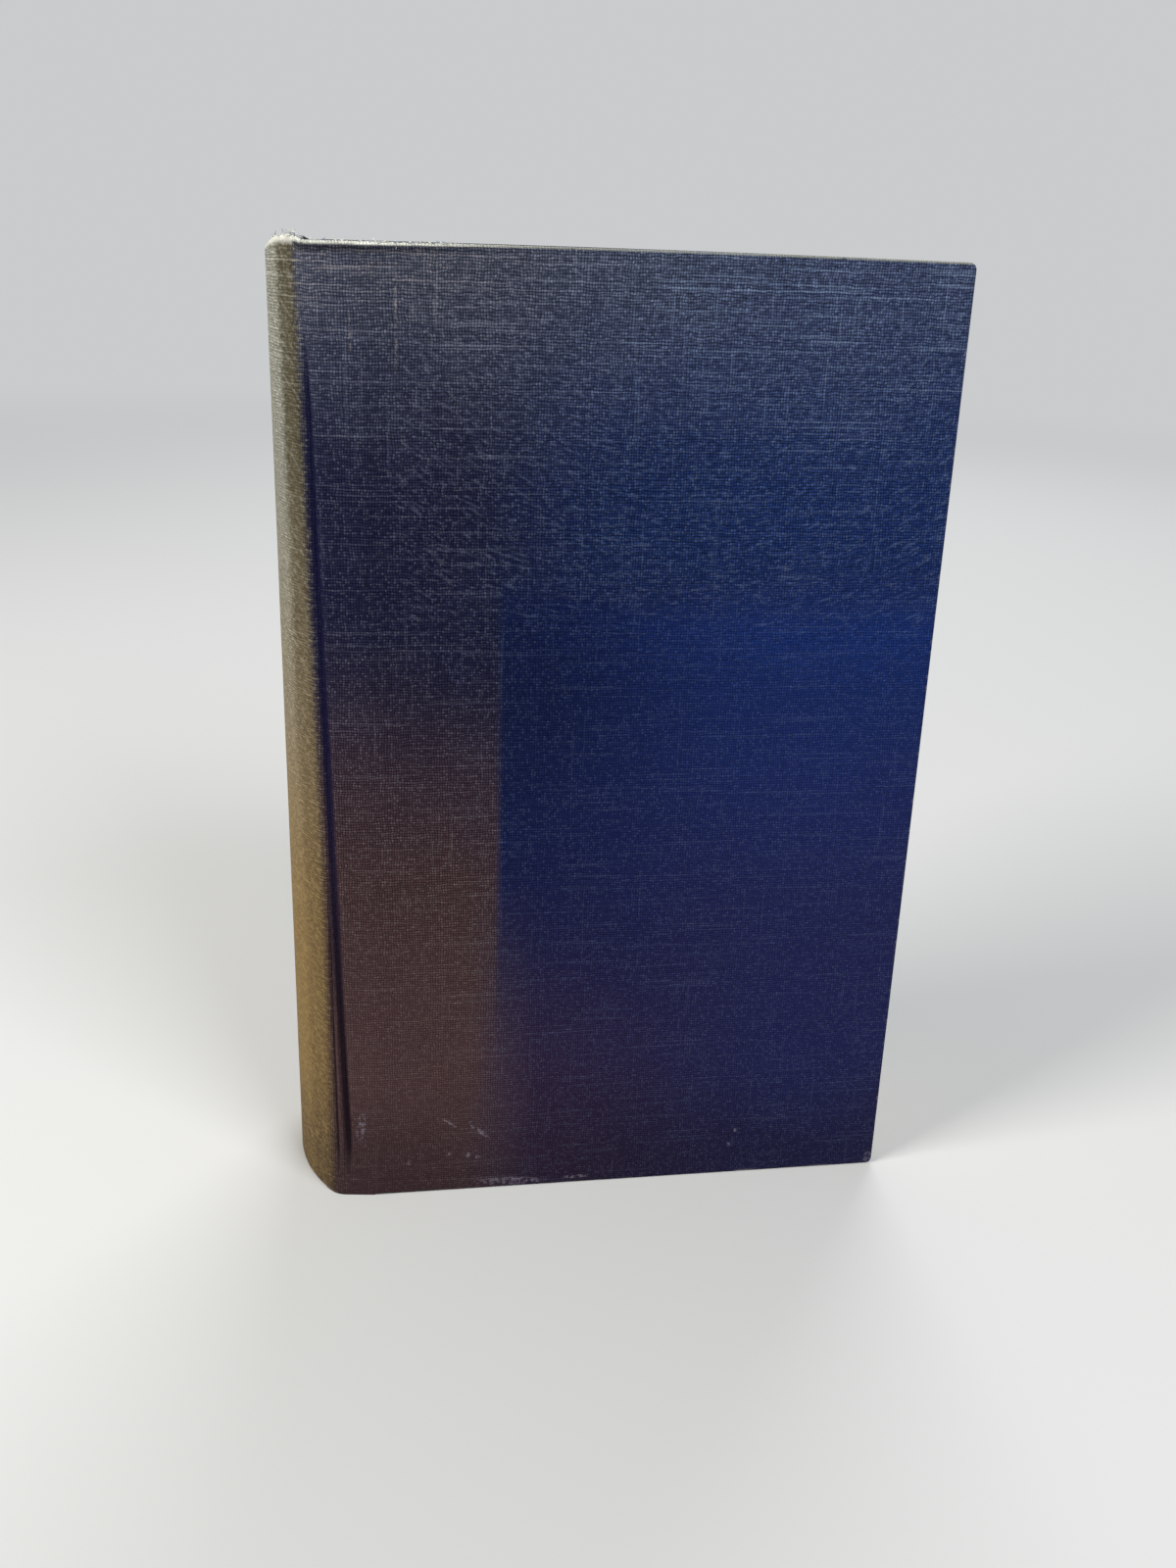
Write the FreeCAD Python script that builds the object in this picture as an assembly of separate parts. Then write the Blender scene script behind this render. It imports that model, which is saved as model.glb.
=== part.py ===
import FreeCAD, Part
import math
import os

# A hardback book, cased in cloth, standing on its tail. All sizes are in millimetres.
# +Z runs from tail to head, the spine is at -X, the fore-edge at +X and the front cover at -Y.
# The origin is the middle of the footprint, on the surface that the book stands on.
# The pages set the sizes, and the case is built outwards from them, as a binder does.

# Text block: the sewn pages, with a rounded back and a hollowed fore-edge
page_height = 228.6
page_width = 142.0
block_thickness = 47.2
back_rise = 7.85
shoulder_height = 1.5

# Sheets
leaf_thickness = 0.2
mull_thickness = 0.3
lining_thickness = 0.2
cloth_thickness = 0.4
inlay_thickness = 0.8

# Boards
board_thickness = 3.0
board_corner_radius = 1.0
square = 2.8

# Case
turn_in = 14.0
cloth_edge_radius = 0.9
joint_gap = 8.0
joint_fall_degrees = 7.0
joint_corner_radius = 6.0
inlay_margin = 2.0

# Creases of the joint: round-bottomed channels pressed into the cloth. Reaches are measured from
# the board's edge towards the spine, and heights from the surface that the book stands on.
crease_radius = 0.9
crease_tail_reach = 7.0
crease_head_reach = 11.9
crease_tail_height = 7.0
crease_head_margin = 22.0
crease_span_count = 2
pleat_radius = 0.5
pleat_tail_reach = 10.0
pleat_head_reach = 10.6
pleat_length = 88.0

# Mull and bands
mull_flap = 22.0
mull_clearance = 0.8
band_tape_height = 10.0
band_bead_radius = 0.9
band_bead_sides = 10
band_margin = 1.0

# Clearances
cover_clearance = 0.2
hollow_clearance = 0.5
fold_clearance = 0.3

# Levels across the thickness, as distances from the middle of the book
face = block_thickness / 2
flyleaf_top = face + leaf_thickness
pastedown_face = flyleaf_top + cover_clearance
board_inside = pastedown_face + leaf_thickness + cloth_thickness
board_outside = board_inside + board_thickness
cover_face = board_outside + cloth_thickness

# Levels along the height
case_height = page_height + 2 * square + 2 * cloth_thickness
board_tail = cloth_thickness
board_head = case_height - cloth_thickness
block_tail = board_tail + square
block_head = block_tail + page_height
turn_in_tail = board_tail + turn_in
turn_in_head = board_head - turn_in
mull_tail = turn_in_tail + mull_clearance
mull_head = turn_in_head - mull_clearance

# Radii of the layers round the spine, all about one upright line
block_radius = (face**2 + back_rise**2) / (2 * back_rise)
mull_radius = block_radius + mull_thickness
lining_radius = mull_radius + lining_thickness
turn_in_radius = lining_radius + hollow_clearance
inlay_inner_radius = turn_in_radius + cloth_thickness
inlay_outer_radius = inlay_inner_radius + inlay_thickness
spine_radius = inlay_outer_radius + cloth_thickness

# Levels along the width
face_chord = math.sqrt(block_radius**2 - face**2)
page_edge_from_centre = page_width - face_chord
case_width = spine_radius + page_edge_from_centre + square + cloth_thickness
spine_centre_x = spine_radius - case_width / 2
fore_edge_x = case_width / 2
page_edge_x = spine_centre_x + page_edge_from_centre
board_fore_x = fore_edge_x - cloth_thickness
turn_in_x = board_fore_x - turn_in

# Shoulder of the text block, and the line that each cover turns about
shoulder_y = face + shoulder_height
shoulder_x = spine_centre_x - math.sqrt(block_radius**2 - shoulder_y**2)
shoulder_foot_x = shoulder_x + shoulder_height
hinge_x = shoulder_x + shoulder_height / 2
hinge_y = face + shoulder_height / 2
board_spine_x = hinge_x + joint_gap
fold_x = hinge_x + fold_clearance


def point(x, y, z=0.0):
    return FreeCAD.Vector(x, y, z)


def block_between(low, high):
    """A box between two opposite corners, in any order of their coordinates."""
    near = [min(pair) for pair in zip(low, high)]
    size = [abs(b - a) for a, b in zip(low, high)]
    return Part.makeBox(size[0], size[1], size[2], point(*near))


def raised(edges, tail, head):
    """An upright solid on a closed outline drawn at height zero."""
    face_of_outline = Part.Face(Part.Wire(edges))
    face_of_outline.translate(point(0, 0, tail))
    return face_of_outline.extrude(point(0, 0, head - tail))


def on_arc(radius, angle):
    """A point round the spine's centre line. Angle zero is the crest, positive is the front."""
    return point(spine_centre_x - radius * math.cos(angle), -radius * math.sin(angle))


def spine_sector(inner_radius, outer_radius, half_angle, tail, head):
    """An upright curved slab round the spine, the same on both sides of the crest."""
    corners = [on_arc(radius, side * half_angle)
               for radius, side in ((inner_radius, -1), (inner_radius, 1),
                                    (outer_radius, 1), (outer_radius, -1))]
    return raised([Part.Arc(corners[0], on_arc(inner_radius, 0), corners[1]).toShape(),
                   Part.makeLine(corners[1], corners[2]),
                   Part.Arc(corners[2], on_arc(outer_radius, 0), corners[3]).toShape(),
                   Part.makeLine(corners[3], corners[0])], tail, head)


def mirrored(shape):
    """The same piece on the other side of the book."""
    return shape.mirror(point(0, 0), point(0, 1))


# The joint's outer surface: a straight fall from the board's edge, then a corner that is
# tangent to it and to the spine's arc.
fall = math.radians(joint_fall_degrees)
fall_along = point(-math.cos(fall), math.sin(fall))
fall_inward = point(math.sin(fall), math.cos(fall))
joint_start = point(board_spine_x, -cover_face)


def corner_centre():
    """The centre of the corner, where it is tangent to the fall and to the spine's arc."""
    start = joint_start + fall_inward * joint_corner_radius - point(spine_centre_x, 0)
    half_b = start.dot(fall_along)
    c = start.dot(start) - (spine_radius - joint_corner_radius) ** 2
    travel = -half_b + math.sqrt(half_b**2 - c)
    return start + point(spine_centre_x, 0) + fall_along * travel


corner = corner_centre()
towards_spine = (corner - point(spine_centre_x, 0)).normalize()
spine_half_angle = math.atan2(-towards_spine.y, -towards_spine.x)
inlay_half_angle = spine_half_angle - inlay_margin / inlay_outer_radius


def joint_surface_y(x):
    """The height of the joint's outer surface, measured across the book."""
    tangent_x = corner.x - fall_inward.x * joint_corner_radius
    if x > tangent_x:
        return joint_start.y + (board_spine_x - x) * math.tan(fall)
    return corner.y - math.sqrt(joint_corner_radius**2 - (x - corner.x) ** 2)


def joint_layer(outer_depth, inner_depth, tail, head):
    """One layer of the joint's cloth, between two depths under its outer surface."""
    rims = []
    for depth in (outer_depth, inner_depth):
        radius = joint_corner_radius - depth
        at_board = point(board_spine_x, joint_start.y + depth / math.cos(fall))
        at_corner = corner - fall_inward * radius
        at_spine = corner + towards_spine * radius
        middle = corner + (towards_spine - fall_inward).normalize() * radius
        rims.append((at_board, at_corner, middle, at_spine))
    outer, inner = rims
    return raised([Part.makeLine(outer[0], outer[1]),
                   Part.Arc(outer[1], outer[2], outer[3]).toShape(),
                   Part.makeLine(outer[3], inner[3]),
                   Part.Arc(inner[3], inner[2], inner[1]).toShape(),
                   Part.makeLine(inner[1], inner[0]),
                   Part.makeLine(inner[0], outer[0])], tail, head)


def channel(radius, tail_reach, head_reach, tail, head, spans):
    """A round bar that follows the joint's surface from the tail to the head of a crease."""
    stops = []
    for step in range(spans + 1):
        share = step / spans
        x = board_spine_x - tail_reach - (head_reach - tail_reach) * share
        stops.append(point(x, joint_surface_y(x), tail + (head - tail) * share))
    bar = Part.makeSphere(radius, stops[0])
    for start, end in zip(stops, stops[1:]):
        run = end - start
        bar = bar.fuse(Part.makeCylinder(radius, run.Length, start, run))
        bar = bar.fuse(Part.makeSphere(radius, end))
    return bar


def text_block():
    """The sewn pages: rounded back, backed shoulders and a fore-edge hollowed to match."""
    back_tip = point(shoulder_x, -shoulder_y)
    front_tip = point(shoulder_x, shoulder_y)
    edge_centre_x = spine_centre_x + page_width
    outline = [
        Part.makeLine(point(page_edge_x, -face), point(shoulder_foot_x, -face)),
        Part.makeLine(point(shoulder_foot_x, -face), back_tip),
        Part.Arc(back_tip, on_arc(block_radius, 0), front_tip).toShape(),
        Part.makeLine(front_tip, point(shoulder_foot_x, face)),
        Part.makeLine(point(shoulder_foot_x, face), point(page_edge_x, face)),
        Part.Arc(point(page_edge_x, face), point(edge_centre_x - block_radius, 0),
                 point(page_edge_x, -face)).toShape(),
    ]
    return raised(outline, block_tail, block_head)


def flyleaf():
    """The free half of an endpaper, lying on the pages."""
    return block_between((shoulder_foot_x, -face, block_tail),
                         (page_edge_x, -flyleaf_top, block_head))


def mull_spine():
    """Open cloth glued round the back of the pages, over both shoulders to the hinge lines."""
    front_hinge = point(hinge_x, -hinge_y)
    front_tip = point(shoulder_x, -shoulder_y)
    back_tip = point(shoulder_x, shoulder_y)
    back_hinge = point(hinge_x, hinge_y)
    back = Part.Wire([Part.makeLine(front_hinge, front_tip),
                      Part.Arc(front_tip, on_arc(block_radius, 0), back_tip).toShape(),
                      Part.makeLine(back_tip, back_hinge)])
    band = back.makeOffset2D(mull_thickness, 0, True, True)
    if band.BoundBox.XMin > back.BoundBox.XMin - mull_thickness / 2:
        band = back.makeOffset2D(-mull_thickness, 0, True, True)
    band.translate(point(0, 0, mull_tail))
    return band.extrude(point(0, 0, mull_head - mull_tail))


def spine_lining():
    """Stiff paper glued over the mull, on the back only."""
    return spine_sector(mull_radius, lining_radius, inlay_half_angle, mull_tail, mull_head)


def head_band():
    """A woven band: a flat tape glued to the back, with a round bead on the pages' end."""
    bead_height = block_head + band_bead_radius
    tape = spine_sector(block_radius, lining_radius, inlay_half_angle,
                        block_head - band_tape_height, bead_height)
    bead_path_radius = lining_radius - band_bead_radius
    half_angle = math.asin((face - band_margin) / bead_path_radius)
    start = on_arc(bead_path_radius, half_angle) + point(0, 0, bead_height)
    outward = point(math.cos(half_angle), math.sin(half_angle)) * -1
    corners = []
    for step in range(band_bead_sides + 1):
        turn = 2 * math.pi * (step + 0.5) / band_bead_sides
        corners.append(start + outward * (band_bead_radius * math.cos(turn))
                       + point(0, 0, band_bead_radius * math.sin(turn)))
    bead = Part.Face(Part.makePolygon(corners)).revolve(
        point(spine_centre_x, 0), point(0, 0, 1), -math.degrees(2 * half_angle))
    return tape.fuse(bead).removeSplitter()


def tail_band():
    """The same band at the tail."""
    middle = (block_head + block_tail) / 2
    return head_band().mirror(point(0, 0, middle), point(0, 0, 1))


def spine_inlay():
    """The card strip that keeps the spine of the case round."""
    return spine_sector(inlay_inner_radius, inlay_outer_radius, inlay_half_angle,
                        board_tail, board_head)


def spine_cloth():
    """The case cloth over the inlay, folded in over its two ends."""
    cloth = spine_sector(inlay_outer_radius, spine_radius, spine_half_angle, 0, case_height)
    for low, high in ((0, cloth_thickness), (board_head, case_height)):
        cloth = cloth.fuse(spine_sector(turn_in_radius, spine_radius, inlay_half_angle, low, high))
    for low, high in ((0, turn_in_tail), (turn_in_head, case_height)):
        cloth = cloth.fuse(spine_sector(turn_in_radius, inlay_inner_radius,
                                        inlay_half_angle, low, high))
    return cloth.removeSplitter()


def joint_cloth():
    """The case cloth across the joint, hemmed at both ends and pressed into two creases."""
    cloth = joint_layer(0, cloth_thickness, 0, case_height)
    for low, high in ((0, turn_in_tail), (turn_in_head, case_height)):
        cloth = cloth.fuse(joint_layer(cloth_thickness, 2 * cloth_thickness, low, high))
    creases = (
        (crease_radius, crease_tail_reach, crease_head_reach, crease_tail_height,
         case_height - crease_head_margin, crease_span_count),
        (pleat_radius, pleat_tail_reach, pleat_head_reach, crease_tail_height,
         crease_tail_height + pleat_length, 1),
    )
    outside = joint_layer(0, joint_corner_radius - crease_radius, 0, case_height)
    for radius, tail_reach, head_reach, tail, head, spans in creases:
        back = channel(radius + cloth_thickness, tail_reach, head_reach, tail, head, spans)
        cloth = cloth.fuse(back.common(outside))
    for radius, tail_reach, head_reach, tail, head, spans in creases:
        cloth = cloth.cut(channel(radius, tail_reach, head_reach, tail, head, spans))
    return cloth.removeSplitter()


def round_cornered_plate(outside, inside, fore_x, tail, head, corner_radius):
    """A flat plate from the joint to the fore-edge, with its two fore corners rounded."""
    plate = block_between((board_spine_x, -outside, tail), (fore_x, -inside, head))
    corners = [edge for edge in plate.Edges
               if edge.BoundBox.XMin > board_spine_x + corner_radius
               and edge.BoundBox.YLength > corner_radius / 2]
    return plate.makeFillet(corner_radius, corners)


def cover_board():
    """The grey board of one cover."""
    return round_cornered_plate(board_outside, board_inside, board_fore_x,
                                board_tail, board_head, board_corner_radius)


def cover_cloth():
    """The case cloth over one board, folded round three edges onto its inner face."""
    turned_level = board_inside - cloth_thickness
    skin = round_cornered_plate(cover_face, turned_level, fore_edge_x, 0, case_height,
                                board_corner_radius + cloth_thickness)
    rims = [edge for edge in skin.Edges
            if edge.BoundBox.YLength < cloth_thickness / 2
            and edge.BoundBox.XMax > board_spine_x + cloth_thickness]
    skin = skin.makeFillet(cloth_edge_radius, rims)
    window = block_between((board_spine_x - joint_gap, -board_inside, turn_in_tail),
                           (turn_in_x, -turned_level + cloth_thickness, turn_in_head))
    return skin.cut(cover_board()).cut(window)


def mull_area():
    """The stretch of the joint and board that a flap of mull covers, as X and Z limits."""
    return (fold_x, board_spine_x + mull_flap), (mull_tail, mull_head)


def mull_board_flap():
    """The side of the mull that is glued across the joint and onto the board."""
    (near_x, far_x), (tail, head) = mull_area()
    return block_between((near_x, -board_inside, tail),
                         (far_x, -board_inside + mull_thickness, head))


def pastedown():
    """The half of an endpaper that is glued down, stepping over the turned-in cloth and mull."""
    past = square + turn_in
    ridges = [
        ((board_spine_x, page_edge_x + past), (block_tail - past, turn_in_tail), cloth_thickness),
        ((board_spine_x, page_edge_x + past), (turn_in_head, block_head + past), cloth_thickness),
        ((turn_in_x, page_edge_x + past), (block_tail - past, block_head + past), cloth_thickness),
        ((fold_x - past, mull_area()[0][1]), mull_area()[1], mull_thickness),
    ]
    low = (fold_x, -board_inside, block_tail)
    sheet = block_between(low, (page_edge_x, -board_inside + leaf_thickness, block_head))
    room = block_between(low, (page_edge_x, -pastedown_face + leaf_thickness, block_head))
    for (near_x, far_x), (tail, head), height in ridges:
        over = block_between(
            (near_x - leaf_thickness, -board_inside, tail - leaf_thickness),
            (far_x + leaf_thickness, -board_inside + height + leaf_thickness,
             head + leaf_thickness))
        sheet = sheet.fuse(over.common(room))
    for (near_x, far_x), (tail, head), height in ridges:
        sheet = sheet.cut(block_between((near_x, -board_inside, tail),
                                        (far_x, -board_inside + height, head)))
    return sheet.removeSplitter()


pieces = {
    "text_block": text_block(),
    "mull_spine": mull_spine(),
    "spine_lining": spine_lining(),
    "head_band": head_band(),
    "tail_band": tail_band(),
    "spine_inlay": spine_inlay(),
    "spine_cloth": spine_cloth(),
}

paired_pieces = {
    "flyleaf": flyleaf,
    "pastedown": pastedown,
    "mull_flap": mull_board_flap,
    "board": cover_board,
    "cover_cloth": cover_cloth,
    "joint_cloth": joint_cloth,
}

for name, make in paired_pieces.items():
    pieces["front_" + name] = make()
    pieces["back_" + name] = mirrored(pieces["front_" + name])

os.makedirs("parts", exist_ok=True)
for name, shape in pieces.items():
    shape.exportStep("parts/" + name + ".step")
    box = shape.BoundBox
    print(name, "solids", len(shape.Solids), "valid", shape.isValid(),
          "volume", round(shape.Volume, 1),
          "X", round(box.XMin, 2), round(box.XMax, 2),
          "Y", round(box.YMin, 2), round(box.YMax, 2),
          "Z", round(box.ZMin, 2), round(box.ZMax, 2))

print("case", round(case_width, 3), round(2 * cover_face, 3), round(case_height, 3))
print("hinge line", round(hinge_x, 3), round(-hinge_y, 3), "board edge", round(board_spine_x, 3))
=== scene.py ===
# %% [markdown]
# # A cloth-bound hardback book
#
# The CAD model gives the book's pieces, their places and their hinges. This script dresses them:
# it makes the case cloth, the pages and the papers with the detail of the real book, and gives
# each piece its material. Lengths are written in millimetres and turned into metres at the end.

# %% Load the frame
import math

import bmesh
import bpy
from mathutils import Matrix, Vector, noise
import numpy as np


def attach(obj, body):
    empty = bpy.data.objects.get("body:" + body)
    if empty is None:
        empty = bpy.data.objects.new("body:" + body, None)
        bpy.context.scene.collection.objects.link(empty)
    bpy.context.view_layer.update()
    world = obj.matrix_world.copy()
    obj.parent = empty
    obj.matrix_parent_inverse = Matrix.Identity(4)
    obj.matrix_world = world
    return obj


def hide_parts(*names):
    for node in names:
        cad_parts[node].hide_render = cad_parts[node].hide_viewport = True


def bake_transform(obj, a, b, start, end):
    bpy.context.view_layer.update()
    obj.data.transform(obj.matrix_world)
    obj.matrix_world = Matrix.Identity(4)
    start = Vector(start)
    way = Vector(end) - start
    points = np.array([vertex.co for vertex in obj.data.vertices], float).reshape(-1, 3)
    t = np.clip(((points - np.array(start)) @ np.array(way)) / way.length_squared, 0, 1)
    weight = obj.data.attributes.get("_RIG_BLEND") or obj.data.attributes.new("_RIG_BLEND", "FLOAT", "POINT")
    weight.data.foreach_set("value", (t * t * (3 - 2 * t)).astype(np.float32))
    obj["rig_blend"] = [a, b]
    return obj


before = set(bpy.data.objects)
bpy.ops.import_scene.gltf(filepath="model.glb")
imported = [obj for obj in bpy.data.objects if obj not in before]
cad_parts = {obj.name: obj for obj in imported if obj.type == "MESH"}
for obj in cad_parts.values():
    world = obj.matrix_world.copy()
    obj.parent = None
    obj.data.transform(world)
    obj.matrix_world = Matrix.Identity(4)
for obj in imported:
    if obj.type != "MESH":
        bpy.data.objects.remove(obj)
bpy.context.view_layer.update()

MM = 0.001

# %% [markdown]
# ## Camera
#
# A camera can be aimed by eye, or set from the lines of the picture. The book's upright and level
# edges meet in vanishing points, which fix both the lens and the three directions of the camera,
# so here they are written down as found. The camera stands close and looks down a little, which
# is why the book narrows towards its tail.

# %% Camera
camera_data = bpy.data.cameras.new("camera")
camera_data.lens = 33.29
camera_data.sensor_width = 36.0
camera_data.clip_start = 0.01
camera = bpy.data.objects.new("camera", camera_data)
bpy.context.scene.collection.objects.link(camera)

camera_right = Vector((0.98798, -0.15108, 0.03272))
camera_up = Vector((0.02250, 0.34996, 0.93649))
camera_back = camera_right.cross(camera_up)
turned = Matrix((camera_right, camera_up, camera_back)).transposed().to_4x4()
camera.matrix_world = Matrix.Translation((-0.05885, -0.35094, 0.23620)) @ turned
bpy.context.scene.camera = camera
print("camera stands", round(-camera.location.y / MM), "mm in front of the book's middle")

# %% [markdown]
# ## Floor and light
#
# A plain pale floor keeps the eye on the book. One large lamp at the left gives the spine its
# brighter side and the cloth its relief, a weaker one fills the cover from the front, a third
# stands behind for the back cover, and the world fills the rest. They are set so that a colour
# comes out about as it is written.


# %% Helpers for nodes
def feed(tree, socket, value):
    """Join a socket to another socket, or set its own value."""
    if isinstance(value, bpy.types.NodeSocket):
        tree.links.new(value, socket)
    else:
        socket.default_value = value


def calc(tree, operation, *values):
    """One step of arithmetic."""
    node = tree.nodes.new("ShaderNodeMath")
    node.operation = operation
    for socket, value in zip(node.inputs, values):
        feed(tree, socket, value)
    return node.outputs[0]


def scaled(tree, value, by, plus):
    """A value made larger or smaller, and moved."""
    return calc(tree, "MULTIPLY_ADD", value, by, plus)


def rise(tree, value, low, high):
    """A smooth step from nothing at low to one at high."""
    node = tree.nodes.new("ShaderNodeMapRange")
    node.interpolation_type = "SMOOTHSTEP"
    feed(tree, node.inputs["Value"], value)
    feed(tree, node.inputs["From Min"], low)
    feed(tree, node.inputs["From Max"], high)
    return node.outputs["Result"]


def mix(tree, share, first, second):
    """A share of the second colour laid over the first."""
    node = tree.nodes.new("ShaderNodeMix")
    node.data_type = "RGBA"
    feed(tree, node.inputs[0], share)
    feed(tree, node.inputs[6], first)
    feed(tree, node.inputs[7], second)
    return node.outputs[2]


def product(tree, *values):
    """Several shares multiplied together."""
    result = values[0]
    for value in values[1:]:
        result = calc(tree, "MULTIPLY", result, value)
    return result


def without(tree, share):
    """What a share leaves of the whole."""
    return calc(tree, "SUBTRACT", 1.0, share)


# %% Helpers for places and noise
def cloudy(tree, vector, stretch, detail=2.0, shift=0.0):
    """Noise, stretched along the axes so that its clouds become streaks or threads."""
    mapping = tree.nodes.new("ShaderNodeMapping")
    mapping.inputs["Scale"].default_value = stretch
    mapping.inputs["Location"].default_value = (shift, shift * 0.7, shift * 0.3)
    feed(tree, mapping.inputs["Vector"], vector)
    node = tree.nodes.new("ShaderNodeTexNoise")
    node.inputs["Scale"].default_value = 1.0
    node.inputs["Detail"].default_value = detail
    feed(tree, node.inputs["Vector"], mapping.outputs[0])
    return node.outputs["Fac"]


def split_axes(tree, vector):
    """The three parts of a place."""
    node = tree.nodes.new("ShaderNodeSeparateXYZ")
    feed(tree, node.inputs[0], vector)
    return node.outputs


def own_place(tree):
    """The place on a piece, in metres, as its mesh has it."""
    return tree.nodes.new("ShaderNodeTexCoord").outputs["Object"]


def slanted(tree, vector, turn, length, width, shift=0.0):
    """Noise in short lines of a given length and width in metres, turned by an angle."""
    mapping = tree.nodes.new("ShaderNodeMapping")
    mapping.vector_type = "TEXTURE"
    mapping.inputs["Rotation"].default_value = (0.0, 0.0, turn)
    mapping.inputs["Scale"].default_value = (length, width, 1.0)
    feed(tree, mapping.inputs["Vector"], vector)
    return cloudy(tree, mapping.outputs[0], (1.0, 1.0, 0.0), 2.0, shift)


# %% Helpers for materials and groups
def linear(red, green, blue):
    """A colour as a screen shows it, from 0 to 255, turned into the shader's light values."""
    parts = []
    for part in (red, green, blue):
        share = part / 255
        parts.append(share / 12.92 if share <= 0.04045 else ((share + 0.055) / 1.055) ** 2.4)
    return (*parts, 1.0)


def new_material(name, roughness=0.8, sheen=0.0):
    """A material with its own Principled shader, and the two things that every finish needs."""
    material = bpy.data.materials.new(name)
    material.use_nodes = True
    shader = material.node_tree.nodes["Principled BSDF"]
    shader.inputs["Roughness"].default_value = roughness
    shader.inputs["Sheen Weight"].default_value = sheen
    shader.inputs["Specular IOR Level"].default_value = 0.2
    return material, material.node_tree, shader


def bump(tree, shader, height, distance, strength=1.0):
    """Relief on the surface, with its height in millimetres."""
    node = tree.nodes.new("ShaderNodeBump")
    node.inputs["Strength"].default_value = strength
    node.inputs["Distance"].default_value = distance * MM
    feed(tree, node.inputs["Height"], height)
    tree.links.new(node.outputs["Normal"], shader.inputs["Normal"])


def new_group(name, inputs, outputs):
    """An empty node group with named float or vector sockets."""
    group = bpy.data.node_groups.new(name, "ShaderNodeTree")
    for label, kind in inputs:
        group.interface.new_socket(label, in_out="INPUT", socket_type=kind)
    for label, kind in outputs:
        group.interface.new_socket(label, in_out="OUTPUT", socket_type=kind)
    start = group.nodes.new("NodeGroupInput")
    end = group.nodes.new("NodeGroupOutput")
    return group, start.outputs, end.inputs


def place_group(tree, group, **values):
    """Put a group into a material, with its own values."""
    node = tree.nodes.new("ShaderNodeGroup")
    node.node_tree = group
    for label, value in values.items():
        feed(tree, node.inputs[label.replace("_", " ")], value)
    return node.outputs


# %% Floor
floor_mesh = bmesh.new()
bmesh.ops.create_circle(floor_mesh, cap_ends=True, radius=6.0, segments=96)
floor_data = bpy.data.meshes.new("floor")
floor_mesh.to_mesh(floor_data)
floor_mesh.free()
floor = bpy.data.objects.new("floor", floor_data)
bpy.context.scene.collection.objects.link(floor)

floor_material, floor_tree, floor_shader = new_material("pale floor", 0.9)
floor_shader.inputs["Base Color"].default_value = linear(212, 212, 210)
floor_data.materials.append(floor_material)
backdrop_colour = linear(206, 208, 210)
distance = floor_tree.nodes.new("ShaderNodeVectorMath")
distance.operation = "LENGTH"
feed(floor_tree, distance.inputs[0], own_place(floor_tree))
far = rise(floor_tree, distance.outputs["Value"], 0.35, 2.2)
floor_path = floor_tree.nodes.new("ShaderNodeLightPath")
far_seen = product(floor_tree, far, floor_path.outputs["Is Camera Ray"])
far_colour = floor_tree.nodes.new("ShaderNodeEmission")
far_colour.inputs["Color"].default_value = backdrop_colour
far_colour.inputs["Strength"].default_value = 0.95
floor_mix = floor_tree.nodes.new("ShaderNodeMixShader")
feed(floor_tree, floor_mix.inputs[0], far_seen)
floor_tree.links.new(floor_shader.outputs[0], floor_mix.inputs[1])
floor_tree.links.new(far_colour.outputs[0], floor_mix.inputs[2])
floor_end = floor_tree.nodes["Material Output"]
floor_tree.links.new(floor_mix.outputs[0], floor_end.inputs["Surface"])
print("floor faces:", len(floor_data.polygons))


# %% Lamps and world
def add_lamp(name, place, size, power, colour):
    """A square soft lamp that looks at the middle of the book."""
    data = bpy.data.lights.new(name, "AREA")
    data.shape = "SQUARE"
    data.size = size
    data.energy = power
    data.color = colour
    lamp = bpy.data.objects.new(name, data)
    aim = Vector((0.0, 0.0, 0.11)) - Vector(place)
    lamp.rotation_euler = aim.to_track_quat("-Z", "Y").to_euler()
    lamp.location = place
    bpy.context.scene.collection.objects.link(lamp)


add_lamp("left lamp", (-1.35, -0.55, 0.85), 0.7, 27.5, (1.0, 0.97, 0.92))
add_lamp("front lamp", (0.75, -1.35, 1.35), 0.9, 23.0, (0.92, 0.96, 1.0))
add_lamp("back lamp", (0.5, 1.4, 1.3), 1.1, 19.0, (0.95, 0.97, 1.0))

world = bpy.data.worlds.new("studio")
world.use_nodes = True
bpy.context.scene.world = world
light_path = world.node_tree.nodes.new("ShaderNodeLightPath")
backdrop = world.node_tree.nodes["Background"]
backdrop.inputs["Color"].default_value = backdrop_colour
seen = scaled(world.node_tree, light_path.outputs["Is Camera Ray"], 0.65, 0.30)
feed(world.node_tree, backdrop.inputs["Strength"], seen)
bpy.context.scene.view_settings.view_transform = "Standard"
print("lamps: 3")

# %% [markdown]
# ## The outline of the case
#
# Seen from above, the cloth runs from the crest of the round spine, round the corner of the
# joint, down a gentle slope to the board and along the board to the fore-edge. Following it by
# its length, as a binder measures cloth, makes each later step simple: a flat sheet is made
# first and then laid along this line, so the weave is never stretched.

# %% Outline of the case
spine_centre = -35.825
spine_radius = 42.0
corner_radius = 6.0
fall = math.radians(7.0)
board_spine_x = -57.445
fore_x = 77.825
cover_face = 28.0
case_height = 235.0
mid_height = case_height / 2

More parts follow.
